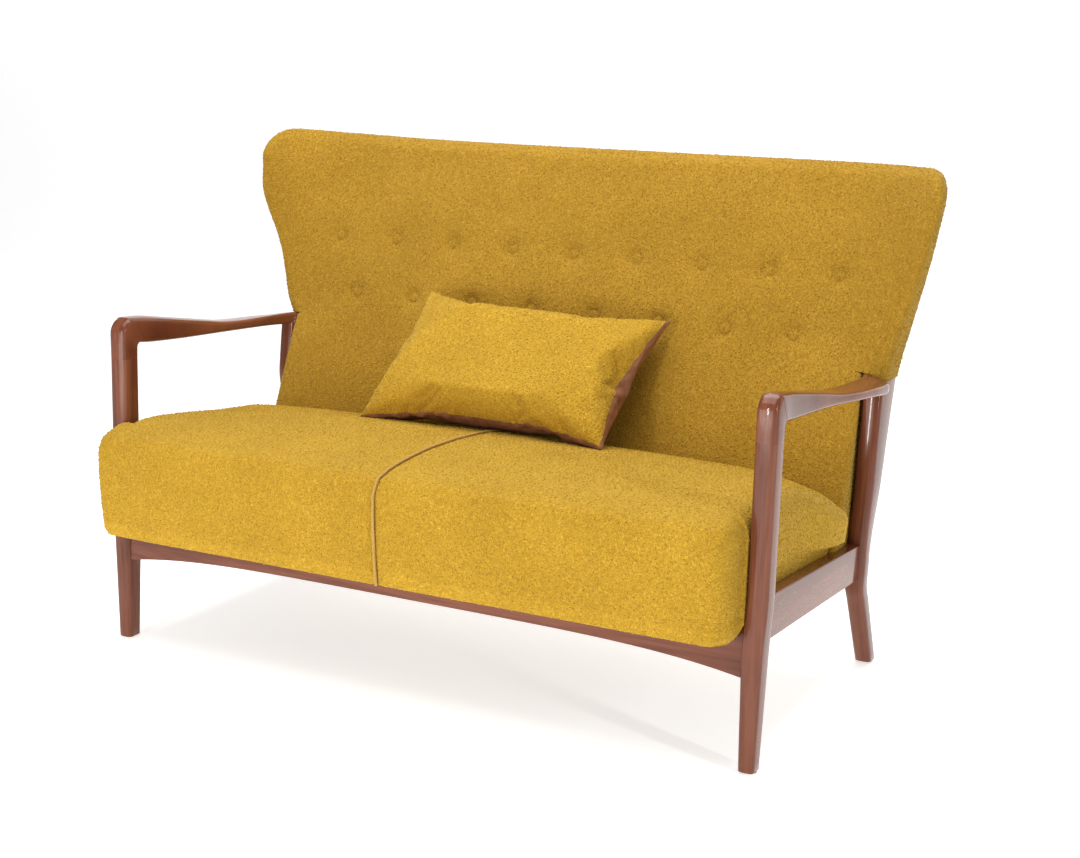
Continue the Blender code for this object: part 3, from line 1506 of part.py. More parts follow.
def scatter_cushion(seat_cover, back_cover):
    """Lean the cushion on the back and let it down onto the seat."""
    holder = bpy.data.objects.new("cushion_holder", None)
    parts.objects.link(holder)
    front = cushion_shell("cushion_front_cover", 1, BOUCLE)
    rear = cushion_shell("cushion_back_cover", -1, LEATHER)
    for item in (front, rear, cushion_filling()):
        item.parent = holder
    holder.rotation_euler = (CUSHION_LEAN, 0, CUSHION_TURN)
    holder.location = (CUSHION_X, CUSHION_Y, SEAT_TOP + CUSHION_HEIGHT * 0.4)
    for _ in range(4):
        bpy.context.view_layer.update()
        gap = min(least_gap(item, seat_cover, Vector((0, 0, -1))) for item in (front, rear))
        holder.location.z -= gap - SOFT_FIT
        bpy.context.view_layer.update()
        gap = min(least_gap(item, back_cover, Vector((0, 1, 0))) for item in (front, rear))
        holder.location.y += gap - SOFT_FIT
    bpy.context.view_layer.update()
    gap = min(least_gap(item, seat_cover, Vector((0, 0, -1))) for item in (front, rear))
    holder.location.z -= gap - SOFT_FIT
    return holder


def centre_on_floor():
    """Hang everything on one empty, with the origin below the middle of the sofa."""
    bpy.context.view_layer.update()
    low = [1e9, 1e9, 1e9]
    high = [-1e9, -1e9, -1e9]
    graph = bpy.context.evaluated_depsgraph_get()
    for item in parts.objects:
        if item.type == "EMPTY":
            continue
        mesh = item.evaluated_get(graph).to_mesh()
        for vert in mesh.vertices:
            point = item.matrix_world @ vert.co
            for axis in range(3):
                low[axis] = min(low[axis], point[axis])
                high[axis] = max(high[axis], point[axis])
    root = bpy.data.objects.new("sofa_origin", None)
    parts.objects.link(root)
    for item in list(parts.objects) + list(cutters.objects):
        if item.parent is None and item is not root:
            item.parent = root
    root.location = (-(low[0] + high[0]) / 2, -(low[1] + high[1]) / 2, -low[2])
    bpy.context.view_layer.update()
    print("box", [round(high[axis] - low[axis], 4) for axis in range(3)],
          "moved by", [round(value, 4) for value in root.location])


def main():
    clear_scene()
    front_posts = []
    rear_posts = []
    for side, side_name in both_sides():
        front_post = front_leg(f"front_leg_{side_name}", side)
        rear_post = rear_leg(f"rear_leg_{side_name}", side)
        arm = armrest(f"armrest_{side_name}", side)
        side_rail(f"side_rail_{side_name}", side, front_post, rear_post)
        arm_dowels(side, side_name, arm, front_post, rear_post)
        foot_glides(side, side_name)
        corner_blocks(side, side_name)
        front_posts.append(front_post)
        rear_posts.append(rear_post)
    front_rail(front_posts)
    rear_rail(rear_posts)

    seat_cover = seat_upholstery()
    boards = seat_frame()
    seat_webbing()
    seat_springs()
    seat_hessian()
    dust_cover = seat_dust_cover()
    seat_piping()

    back_cover, back_padding = back_upholstery()
    outside_cover()
    stiles = back_frame()
    back_webbing()
    for row in ("upper", "lower"):
        button_row(row, back_cover, back_padding)
    for index, (side, side_name) in enumerate(both_sides()):
        cleat = seat_cleat(side, side_name)
        seat_screws(side, side_name, cleat, dust_cover, boards[index])
        back_bolts(side, side_name, stiles[index], rear_posts[index], back_cover, back_padding)

    scatter_cushion(seat_cover, back_cover)
    centre_on_floor()


main()
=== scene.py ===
import math

import bmesh
import bpy
import numpy as np
from mathutils import Matrix, Vector


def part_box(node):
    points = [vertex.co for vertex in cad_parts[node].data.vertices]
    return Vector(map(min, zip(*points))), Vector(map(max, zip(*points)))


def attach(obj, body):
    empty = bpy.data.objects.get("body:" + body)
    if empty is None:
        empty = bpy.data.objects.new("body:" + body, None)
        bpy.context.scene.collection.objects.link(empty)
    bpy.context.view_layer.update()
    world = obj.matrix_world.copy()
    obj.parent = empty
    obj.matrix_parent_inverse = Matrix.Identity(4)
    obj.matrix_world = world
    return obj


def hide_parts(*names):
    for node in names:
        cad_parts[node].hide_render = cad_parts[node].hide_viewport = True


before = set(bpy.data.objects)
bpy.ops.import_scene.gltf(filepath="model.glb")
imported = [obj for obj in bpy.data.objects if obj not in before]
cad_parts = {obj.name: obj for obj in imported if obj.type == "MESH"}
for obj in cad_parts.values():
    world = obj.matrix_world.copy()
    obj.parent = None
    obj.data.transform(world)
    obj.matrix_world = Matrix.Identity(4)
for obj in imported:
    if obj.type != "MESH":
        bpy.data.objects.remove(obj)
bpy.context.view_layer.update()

# Sizes are in metres. While a piece is shaped, y = 0 is the centre line of the front legs.
legLow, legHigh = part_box("front_leg_right")
shift = (legLow.y + legHigh.y) / 2
print("frame loaded, shift", round(shift, 4))

# Photo camera
cameraPlace = {
    "at": (1.466, -2.429, 1.080), "yaw": 26.88, "pitch": 11.89, "roll": 1.69,   # metres, degrees
    "lens": 57.35, "sensor": 36,   # millimetres
}


def photoCamera(place):
    yaw, pitch, roll = (math.radians(place[key]) for key in ("yaw", "pitch", "roll"))
    ahead = Vector((-math.sin(yaw) * math.cos(pitch), math.cos(yaw) * math.cos(pitch),
                    -math.sin(pitch)))
    right = Vector((math.cos(yaw), math.sin(yaw), 0))
    up = right.cross(ahead)
    tiltedRight = right * math.cos(roll) + up * math.sin(roll)
    tiltedUp = up * math.cos(roll) - right * math.sin(roll)
    data = bpy.data.cameras.new("photoCamera")
    data.sensor_width = place["sensor"]
    data.lens = place["lens"]
    camera = bpy.data.objects.new("photoCamera", data)
    bpy.context.scene.collection.objects.link(camera)
    turn = Matrix((tiltedRight, tiltedUp, -ahead)).transposed().to_4x4()
    spot = Vector(place["at"]) + Vector((0, shift, 0))
    camera.matrix_world = Matrix.Translation(spot) @ turn
    bpy.context.scene.camera = camera


photoCamera(cameraPlace)


# Materials

def newMaterial(name):
    made = bpy.data.materials.new(name)
    made.use_nodes = True
    return made, made.node_tree, made.node_tree.nodes["Principled BSDF"]


def addNode(tree, kind, values=None, **options):
    node = tree.nodes.new(kind)
    for key, value in options.items():
        setattr(node, key, value)
    for key, value in (values or {}).items():
        if isinstance(value, bpy.types.NodeSocket):
            tree.links.new(value, node.inputs[key])
        else:
            node.inputs[key].default_value = value
    return node


def multiplyAdd(tree, value, weight, base):
    return addNode(tree, "ShaderNodeMath", {0: value, 1: weight, 2: base},
                   operation="MULTIPLY_ADD").outputs[0]


def colourRamp(tree, factor, stops):
    node = addNode(tree, "ShaderNodeValToRGB", {"Fac": factor})
    elements = node.color_ramp.elements
    while len(elements) < len(stops):
        elements.new(0.5)
    for element, (place, colour) in zip(elements, stops):
        element.position = place
        element.color = (*colour, 1)
    return node.outputs["Color"]


def objectPlace(tree, scale=(1, 1, 1), attribute=None):
    if attribute:
        source = addNode(tree, "ShaderNodeAttribute", attribute_name=attribute).outputs["Vector"]
    else:
        source = addNode(tree, "ShaderNodeTexCoord").outputs["Object"]
    return addNode(tree, "ShaderNodeMapping", {"Vector": source, "Scale": scale}).outputs["Vector"]


def boucleMaterial(name, tones):
    made, tree, shader = newMaterial(name)
    place = objectPlace(tree)
    worms = addNode(tree, "ShaderNodeTexNoise", {"Vector": place, "Scale": 285.0, "Detail": 1.5,
                                                 "Roughness": 0.5, "Distortion": 1.8})
    fibres = addNode(tree, "ShaderNodeTexNoise",
                     {"Vector": place, "Scale": 900.0, "Detail": 2.0, "Roughness": 0.6})
    patches = addNode(tree, "ShaderNodeTexNoise", {"Vector": place, "Scale": 7.0, "Detail": 3.0})
    base = addNode(tree, "ShaderNodeAttribute", attribute_name="curlShare")
    blend = 0.0
    for noise, weight in ((worms, 0.62), (fibres, 0.18), (patches, 0.12), (base, -0.03)):
        blend = multiplyAdd(tree, noise.outputs["Fac"], weight, blend)
    stops = ((0.36, tones[0]), (0.49, tones[1]), (0.60, tones[2]))
    tree.links.new(colourRamp(tree, blend, stops), shader.inputs["Base Color"])
    bump = addNode(tree, "ShaderNodeBump", {"Height": worms.outputs["Fac"],
                                            "Strength": 0.5, "Distance": 0.0016})
    bump = addNode(tree, "ShaderNodeBump", {"Height": fibres.outputs["Fac"], "Strength": 0.3,
                                            "Distance": 0.0006, "Normal": bump.outputs[0]})
    tree.links.new(bump.outputs[0], shader.inputs["Normal"])
    shader.inputs["Roughness"].default_value = 0.95
    shader.inputs["Specular IOR Level"].default_value = 0.12
    shader.inputs["Sheen Weight"].default_value = 0.22
    shader.inputs["Sheen Roughness"].default_value = 0.45
    shader.inputs["Sheen Tint"].default_value = (0.95, 0.90, 0.35, 1)
    return made


def woodMaterial(name, tones, roughness, gloss):
    made, tree, shader = newMaterial(name)
    place = objectPlace(tree, (26.0, 26.0, 2.2), "grainPlace")
    broad = addNode(tree, "ShaderNodeTexNoise",
                    {"Vector": place, "Scale": 1.0, "Detail": 5.0, "Roughness": 0.6,
                     "Distortion": 0.8})
    fine = objectPlace(tree, (260.0, 260.0, 9.0), "grainPlace")
    pores = addNode(tree, "ShaderNodeTexNoise", {"Vector": fine, "Scale": 1.0, "Detail": 3.0})
    mixed = multiplyAdd(tree, pores.outputs["Fac"], 0.35, broad.outputs["Fac"])
    stops = ((0.40, tones[0]), (0.66, tones[1]), (0.90, tones[2]))
    tree.links.new(colourRamp(tree, mixed, stops), shader.inputs["Base Color"])
    smudges = addNode(tree, "ShaderNodeTexNoise",
                      {"Vector": objectPlace(tree), "Scale": 14.0, "Detail": 3.0})
    spread = addNode(tree, "ShaderNodeMapRange", {"Value": smudges.outputs["Fac"],
                                                  "From Min": 0.3, "From Max": 0.7,
                                                  "To Min": roughness - 0.04,
                                                  "To Max": roughness + 0.08})
    tree.links.new(spread.outputs["Result"], shader.inputs["Roughness"])
    bump = addNode(tree, "ShaderNodeBump", {"Height": pores.outputs["Fac"], "Strength": 0.02,
                                            "Distance": 0.0004})
    tree.links.new(bump.outputs[0], shader.inputs["Normal"])
    shader.inputs["Specular IOR Level"].default_value = gloss
    return made


def plainMaterial(name, dark, light, scale, roughness, metallic=0.0):
    made, tree, shader = newMaterial(name)
    noise = addNode(tree, "ShaderNodeTexNoise",
                    {"Vector": objectPlace(tree, scale), "Scale": 1.0, "Detail": 4.0})
    stops = ((0.35, dark), (0.65, light))
    tree.links.new(colourRamp(tree, noise.outputs["Fac"], stops), shader.inputs["Base Color"])
    shader.inputs["Roughness"].default_value = roughness
    shader.inputs["Metallic"].default_value = metallic
    return made


# The back, its rear panel and the buttons use a darker copy of the seat's bouclé. Its lower tones
# are painted shade for the back, which gets less light; the cloth is the same as the seat's.
paintedShadeCloth = boucleMaterial("shadeBoucle", ((0.255, 0.136, 0.011), (0.378, 0.210, 0.021),
                                            (0.498, 0.286, 0.040)))
seatCloth = boucleMaterial("mustardBoucle", ((0.33, 0.182, 0.014), (0.47, 0.274, 0.024),
                                             (0.63, 0.38, 0.042)))
showWood = woodMaterial("stainedWood", ((0.066, 0.018, 0.008), (0.145, 0.043, 0.021),
                                        (0.215, 0.073, 0.038)), 0.09, 0.32)
frameWood = plainMaterial("paleWood", (0.40, 0.27, 0.15), (0.56, 0.42, 0.26), (40, 40, 6), 0.65)
leather = plainMaterial("brownLeather", (0.18, 0.070, 0.035), (0.29, 0.120, 0.062),
                        (60, 60, 60), 0.55)
jute = plainMaterial("juteCloth", (0.28, 0.19, 0.09), (0.48, 0.36, 0.20), (300, 300, 300), 0.9)
darkCloth = plainMaterial("darkCloth", (0.012, 0.012, 0.013), (0.035, 0.034, 0.034),
                          (400, 400, 400), 0.9)
steel = plainMaterial("steelWire", (0.35, 0.34, 0.32), (0.55, 0.54, 0.51), (80, 80, 80), 0.35, 1.0)
glidePlastic = plainMaterial("paleGlide", (0.60, 0.52, 0.38), (0.78, 0.70, 0.55), (50, 50, 50), 0.5)
cordCloth = plainMaterial("tanCord", (0.34, 0.19, 0.035), (0.50, 0.30, 0.07), (700, 700, 700), 0.85)
print("materials made")


# Mesh helpers

def smoothStep(value):
    value = np.clip(value, 0.0, 1.0)
    return value * value * (3 - 2 * value)


def addPiece(name, points, faces, material):
    mesh = bpy.data.meshes.new(name)
    points = np.asarray(points, float) + (0.0, shift, 0.0)
    mesh.from_pydata(points.tolist(), [], faces)
    mesh.materials.append(material)
    mesh.shade_smooth()
    mesh.update()
    piece = bpy.data.objects.new(name, mesh)
    bpy.context.scene.collection.objects.link(piece)
    return piece


def settle(piece, body, slot, *stands):
    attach(piece, body)
    if stands:
        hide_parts(*stands)
    print(piece.name, len(piece.data.polygons), "faces")
    return piece


def faceOutwards(piece):
    bm = bmesh.new()
    bm.from_mesh(piece.data)
    bmesh.ops.recalc_face_normals(bm, faces=bm.faces)
    if bm.calc_volume(signed=True) < 0:
        bmesh.ops.reverse_faces(bm, faces=bm.faces)
    bm.to_mesh(piece.data)
    bm.free()
    piece.data.update()


# A rounded rectangle. The crown makes the side towards +v bulge.
def roundedRing(halfU, halfV, radius, crown=0.0):
    steps, broadPoints, mostRound, crownStart = 5, 9, 0.98, 0.2
    ring = []
    radius = min(radius, halfU * mostRound, halfV * mostRound)
    for signU, signV, start in ((1, 1, 0), (-1, 1, 90), (-1, -1, 180), (1, -1, 270)):
        for step in range(steps + 1):
            angle = math.radians(start + 90 * step / steps)
            ring.append((signU * (halfU - radius) + radius * math.cos(angle),
                         signV * (halfV - radius) + radius * math.sin(angle)))
        if signU * signV > 0:   # extra points along the broad faces, so that they can be crowned
            v = signV * halfV
            flat = halfU - radius
            ring += [(u, v) for u in np.linspace(signU * flat, -signU * flat, broadPoints)[1:-1]]
    ring = np.array(ring)
    toFront = smoothStep((ring[:, 1] / halfV + crownStart) / (1 + crownStart))
    ring[:, 1] -= crown * (ring[:, 0] / halfU) ** 2 * toFront
    return ring


# A smooth curve through every row, with perSpan points from each row to the next
def curveThrough(rows, perSpan):
    rows = np.asarray(rows, float)
    padded = np.vstack([2 * rows[0] - rows[1], rows, 2 * rows[-1] - rows[-2]])
    made = []
    for i in range(1, len(padded) - 2):
        before, start, end, after = padded[i - 1:i + 3]
        for t in np.linspace(0, 1, perSpan, endpoint=False):
            made.append(0.5 * (2 * start + (end - before) * t
                               + (2 * before - 5 * start + 4 * end - after) * t ** 2
                               + (3 * start - before - 3 * end + after) * t ** 3))
    made.append(rows[-1])
    return np.array(made)


def sideFaces(count, around, first=0):
    faces = []
    for low in range(first, first + (count - 1) * around, around):
        for j in range(around):
            k = (j + 1) % around
            faces.append((low + j, low + k, low + around + k, low + around + j))
    return faces


def loft(name, rings, grain):
    rings = np.asarray(rings, float)
    count, around = rings.shape[:2]
    faces = sideFaces(count, around)
    faces.append(tuple(range(around)))
    faces.append(tuple((count - 1) * around + j for j in range(around)))
    piece = addPiece(name, rings.reshape(-1, 3), faces, showWood)
    attribute = piece.data.attributes.new("grainPlace", "FLOAT_VECTOR", "POINT")
    attribute.data.foreach_set("vector", np.asarray(grain, np.float32).reshape(-1))
    faceOutwards(piece)
    piece.data.set_sharp_from_angle(angle=math.radians(50))
    return piece


def woodPiece(name, rings, grain):
    return settle(loft(name, rings, grain), "sofa", "show_wood", name)


# Show-wood frame
legs = {
    "innerHalf": 0.607, "width": 0.036, "depth": 0.042, "top": 0.535, "taperTop": 0.20,
    "footWidth": 0.027, "footDepth": 0.032, "round": 0.0075, "crown": 0.0028, "footIn": 0.0045,
    "floorGap": 0.0028, "footRound": 0.0016, "footInFrom": 0.19, "footInRun": 0.10,
    "levels": (0.02, 0.06, 0.10, 0.14, 0.17, 0.19, 0.20, 0.21, 0.24), "upperLevels": 12,
}
post = {
    "kneeY": 0.5005, "kneeZ": 0.172, "splay": 0.57, "rake": 0.006, "bend": 0.0235, "top": 0.564,
    "depth": 0.0945, "growZ": 0.235, "kneeDepth": 0.038, "footDepth": 0.034, "kneeSoft": 0.030,
    "pieceTop": 0.553, "topRound": 0.002, "topRun": 0.003, "footWider": 0.0022,
    "leftForward": 0.013, "leftFrom": 0.375, "leftRun": 0.07,
    "rightOut": 0.004, "rightFrom": 0.25, "rightRun": 0.12,
}
legX = legs["innerHalf"] + legs["width"] / 2


def legTaper(z):
    return min(1.0, max(0.0, 1 - z / legs["taperTop"]))


def legHalfWidth(z):
    return (legs["width"] + (legs["footWidth"] - legs["width"]) * legTaper(z)) / 2


def footPull(z):
    return legs["footRound"] * (1 - min(1.0, (z - legs["floorGap"]) / legs["footRound"])) ** 2


def footLevels():
    return [legs["floorGap"] + rise for rise in (0, 0.0006, legs["footRound"])]


def legRing(middleX, halfWidth, halfDepth, middleY, z):
    scale = halfWidth / (legs["width"] / 2)
    ring = roundedRing(halfWidth, halfDepth, legs["round"] * scale, legs["crown"] * scale)
    return np.array([(middleX + u, middleY - v, z) for u, v in ring])


def frontLeg(name, side):
    last = legs["levels"][-1]
    count = legs["upperLevels"]
    heights = footLevels() + list(legs["levels"])
    heights += [last + (legs["top"] - last) * i / count for i in range(1, count + 1)]
    rings = []
    for z in heights:
        halfDepth = (legs["depth"] + (legs["footDepth"] - legs["depth"]) * legTaper(z)) / 2
        pull = footPull(z)
        middleX = side * legX
        if side > 0:
            inwards = 1 - float(smoothStep((z - legs["footInFrom"]) / legs["footInRun"]))
            middleX -= legs["footIn"] * inwards
        rings.append(legRing(middleX, legHalfWidth(z) - pull, halfDepth - pull, 0.0, z))
    rings = np.array(rings)
    grain = rings + (0.7 * side, 0.0, 0.0)
    return woodPiece(name, rings, grain)


def postFront(z):
    soft = post["kneeSoft"]
    below = post["kneeY"] + post["splay"] * (post["kneeZ"] - z)
    rise = max(0.0, z - post["kneeZ"])
    above = post["kneeY"] + post["rake"] * (z - post["kneeZ"])
    above += post["bend"] * (rise / (post["top"] - post["kneeZ"])) ** 2
    blend = float(smoothStep((z - post["kneeZ"]) / (2 * soft) + 0.5))
    return below * (1 - blend) + above * blend


def postDepth(z):
    if z < post["kneeZ"]:
        thinner = post["footDepth"] - post["kneeDepth"]
        return post["kneeDepth"] + thinner * (post["kneeZ"] - z) / post["kneeZ"]
    grown = max(0.0, (z - post["growZ"]) / (post["top"] - post["growZ"]))
    return post["kneeDepth"] + (post["depth"] - post["kneeDepth"]) * grown


def rearLeg(name, side):
    top = post["pieceTop"]
    heights = footLevels() + list(np.linspace(0.02, top - post["topRun"], 60))
    heights += [top - 0.0012, top]
    rings = []
    for z in heights:
        halfDepth = postDepth(z) / 2
        pull = footPull(z) + post["topRound"] * max(0.0, 1 - (top - z) / post["topRun"]) ** 2
        halfWidth = legHalfWidth(z) + post["footWider"] * max(0.0, 1 - z / post["kneeZ"]) - pull
        middleY = postFront(z) + halfDepth
        out = 0.0
        if side < 0:
            forward = float(smoothStep((z - post["leftFrom"]) / post["leftRun"]))
            middleY -= post["leftForward"] * forward
        else:
            out = post["rightOut"] * float(smoothStep((z - post["rightFrom"]) / post["rightRun"]))
        rings.append(legRing(side * legX + out, halfWidth, halfDepth - pull, middleY, z))
    rings = np.array(rings)
    grain = rings - np.array([(0.9 * side, postFront(z), 0.0) for z in heights])[:, None, :]
    return woodPiece(name, rings, grain)


arm = {
    "top": 0.6095, "corner": 0.028, "fillet": 0.009, "frontHeight": 0.0485, "rearThick": 0.024,
    "edgeThick": 0.018, "flare": 0.025, "perSpan": 7, "leftLift": 0.0055, "liftRun": 0.10,
    "liftNear": 0.85, "liftMore": 0.35, "farSlope": 1.6, "farFrom": 0.4, "crownLoss": 0.75,
    "roundShare": 0.8,
}


# Rows of upper y and z, lower y and z, shift of the inner and the outer side, thinning of the
# outer edge, and its drop and slant: up out of the leg, around the corner and back to the post
def armRows():
    foot = legs["top"]
    front = -legs["depth"] / 2
    rear = legs["depth"] / 2
    low = arm["top"] - arm["frontHeight"]
    rows = [(front, foot, rear, foot, 0.0, 0.0, 1.0, 0.0, 0.0)]
    for angle in (180, 155, 130, 110, 90):
        turn = math.radians(angle)
        share = (180 - angle) / 90
        back = math.radians(180 - 90 * share)
        rows.append((front + arm["corner"] * (1 + math.cos(turn)),
                     arm["top"] - arm["corner"] * (1 - math.sin(turn)),
                     rear + arm["fillet"] * (1 + math.cos(back)),
                     low - arm["fillet"] * (1 - math.sin(back)), 0.0, 0.0, 1.0, 0.0, 0.0))
    endTop = post["top"]
    endLow = endTop - arm["rearThick"]
    edge = arm["edgeThick"] / arm["rearThick"]
    flare = arm["flare"]
    run = (
        (0.154, arm["top"] - 0.0065, low - 0.0030, -0.001, -0.002, 0.0, 0.0, 0.0),
        (0.297, arm["top"] - 0.0180, low - 0.0065, -0.003, -0.001, 0.1, 0.0005, 0.0),
        (0.440, arm["top"] - 0.0290, low - 0.0090, -0.003, 0.15 * flare, 0.35, 0.001, 0.0),
        (0.572, arm["top"] - 0.0385, low - 0.0115, 0.000, 0.42 * flare, 0.65, 0.0025, 0.0),
        (0.704, arm["top"] - 0.0430, low - 0.0145, 0.005, 0.74 * flare, 0.9, 0.004, 0.0),
        (0.836, endTop + 0.0010, endLow + 0.0035, 0.008, 0.90 * flare, 1.0, 0.007, 0.0),
        (0.925, endTop + 0.0002, endLow + 0.0010, 0.0085, 0.88 * flare, 1.0, 0.010, 0.002),
        (0.960, endTop, endLow, 0.006, 0.80 * flare, 1.0, 0.0105, 0.005),
        (0.978, endTop, endLow, 0.004, 0.66 * flare, 0.95, 0.0105, 0.009),
        (0.990, endTop, endLow, 0.002, 0.44 * flare, 0.9, 0.0105, 0.013),
        (1.000, endTop, endLow, 0.001, 0.18 * flare, 0.9, 0.0105, 0.015),
        (1.012, endTop, endLow, 0.0, 0.0004, 0.9, 0.0105, 0.015),
        (1.060, endTop, endLow, 0.0, 0.0004, 0.9, 0.0105, 0.010),
    )
    for along, top, bottom, inShift, outShift, thin, drop, slant in run:
        y = front + along * (postFront(endTop) - front)
        rows.append((y, top, y, bottom, inShift, outShift, 1 + (edge - 1) * thin, drop, slant))
    return rows


def armrest(name, side):
    rings = []
    rows = curveThrough(armRows(), arm["perSpan"])
    for index, row in enumerate(rows):
        upperY, upperZ, lowerY, lowerZ, inShift, outShift, edge, drop, slant = row
        upper = np.array((upperY, upperZ))
        lower = np.array((lowerY, lowerZ))
        halfHeight = np.linalg.norm(upper - lower) / 2
        direction = (upper - lower) / (2 * halfHeight)
        middle = (upper + lower) / 2
        inX = legs["innerHalf"] + inShift
        halfWidth = (legs["width"] + outShift - inShift) / 2
        far = float(smoothStep(index / len(rows) * arm["farSlope"] - arm["farFrom"]))
        rise = float(smoothStep((upperY - lowerY + legs["depth"] + upperY) / arm["liftRun"]))
        rise *= arm["liftNear"] + arm["liftMore"] * far
        crown = legs["crown"] * (1 - arm["crownLoss"] * far)
        radius = min(legs["round"], halfHeight * edge * arm["roundShare"])
        ring = []
        for u, v in roundedRing(halfWidth, halfHeight, radius, crown):
            outwards = (u / halfWidth + 1) / 2
            place = middle + direction * (v * (1 + (edge - 1) * outwards))
            lift = arm["leftLift"] * max(0.0, v / halfHeight) * rise if side < 0 else 0.0
            ring.append((side * (inX + halfWidth + u), place[0] + slant * outwards,
                         place[1] + (lift - drop) * outwards))
        rings.append(ring)
    rings = np.array(rings)
    steps = np.linalg.norm(np.diff(rings.mean(axis=1), axis=0), axis=1)
    along = np.concatenate([[0], np.cumsum(steps)])
    centre = rings.mean(axis=1)[:, None, :]
    grain = np.stack([rings[:, :, 0] - centre[:, :, 0], np.linalg.norm(rings - centre, axis=2),
                      np.repeat(along[:, None], rings.shape[1], axis=1)], axis=2)
    grain += (3.1 * side, 0, 0)
    return woodPiece(name, rings, grain)


rails = {
    "thick": 0.026, "sideTop": 0.286, "sideDepth": 0.073, "sideRearDepth": 0.066, "fall": 0.0667,
    "frontThick": 0.023, "setBack": 0.009, "frontEnd": 0.1555, "rise": 0.0245, "top": 0.2442,
    "rearThick": 0.020, "rearBottom": 0.165, "rearTop": 0.2362, "rearSetBack": 0.0105,
    "round": 0.0025, "legTuck": 0.002, "postTuck": 0.003, "archPower": 4.5,
    "sideRings": 40, "crossRings": 90,
}


def sideRail(name, side):
    rings = []
    start = legs["depth"] / 2 - rails["legTuck"]
    middleX = legs["innerHalf"] + rails["thick"] / 2
    for share in np.linspace(0, 1, rails["sideRings"]):
        yMiddle = start + (post["kneeY"] - start) * share
        top = rails["sideTop"] - rails["fall"] * (yMiddle - legs["depth"] / 2)
        depth = rails["sideDepth"] + (rails["sideRearDepth"] - rails["sideDepth"]) * share
        half = depth / 2
        ring = []
        for u, v in roundedRing(rails["thick"] / 2, half, rails["round"]):
            z = top - half + v
            reach = postFront(z) + rails["postTuck"] - start
            ring.append((side * (middleX + u), start + reach * share, z))
        rings.append(ring)
    rings = np.array(rings)
    grain = rings[:, :, (0, 2, 1)] + (5.0 * side, 0, 0)
    return woodPiece(name, rings, grain)


def crossRail(name, lowY, thick, bottom, top):
    rings = []
    half = legs["innerHalf"] + rails["legTuck"]
    for x in np.linspace(-half, half, rails["crossRings"]):
        low = bottom(min(1.0, abs(x) / legs["innerHalf"]))
        middle = (low + top) / 2
        ring = [(x, lowY + thick / 2 + u, middle + v)
                for u, v in roundedRing(thick / 2, (top - low) / 2, rails["round"])]
        rings.append(ring)
    rings = np.array(rings)
    grain = rings[:, :, (1, 2, 0)] + (9.0, 0, 0)
    return woodPiece(name, rings, grain)


for side, sideName in ((-1, "left"), (1, "right")):
    frontLeg(f"front_leg_{sideName}", side)
    rearLeg(f"rear_leg_{sideName}", side)
    armrest(f"armrest_{sideName}", side)
    sideRail(f"side_rail_{sideName}", side)
crossRail("front_rail", rails["setBack"] - legs["depth"] / 2, rails["frontThick"],
          lambda share: rails["frontEnd"] + rails["rise"] * (1 - share ** rails["archPower"]),
          rails["top"])
crossRail("rear_rail", postFront(rails["rearTop"]) + rails["rearSetBack"], rails["rearThick"],
          lambda share: rails["rearBottom"], rails["rearTop"])
print("wood frame made")


# Upholstery helpers

def boxSkin(xs, ys, zs):
    counts = (len(xs), len(ys), len(zs))
    index = {}
    points = []
    faces = []

    def corner(i, j, k):
        key = (i, j, k)
        if key not in index:
            index[key] = len(points)
            points.append((xs[i], ys[j], zs[k]))
        return index[key]

    for axis in range(3):
        first, second = [a for a in range(3) if a != axis]
        for end in (0, counts[axis] - 1):
            for a in range(counts[first] - 1):
                for b in range(counts[second] - 1):
                    quad = []
                    for da, db in ((0, 0), (1, 0), (1, 1), (0, 1)):
                        key = [0, 0, 0]
                        key[axis] = end
                        key[first] = a + da
                        key[second] = b + db
                        quad.append(corner(*key))
                    if (end == 0) != (axis == 1):
                        quad.reverse()
                    faces.append(tuple(quad))
    return np.array(points, float), faces


def spread(stops, pitch):
    values = [stops[0]]
    for start, end in zip(stops, stops[1:]):
        count = max(1, round((end - start) / pitch))
        values += [start + (end - start) * (i + 1) / count for i in range(count)]
    return values


def softNoise(points, scale, seed):
    generator = np.random.default_rng(seed)
    total = np.zeros(len(points))
    for _ in range(7):
        direction = generator.normal(size=3)
        direction /= np.linalg.norm(direction)
        wave = scale * (0.7 + 0.9 * generator.random())
        total += np.sin(points @ direction * 2 * math.pi / wave + generator.random() * 6.3)
    return total / 3.5


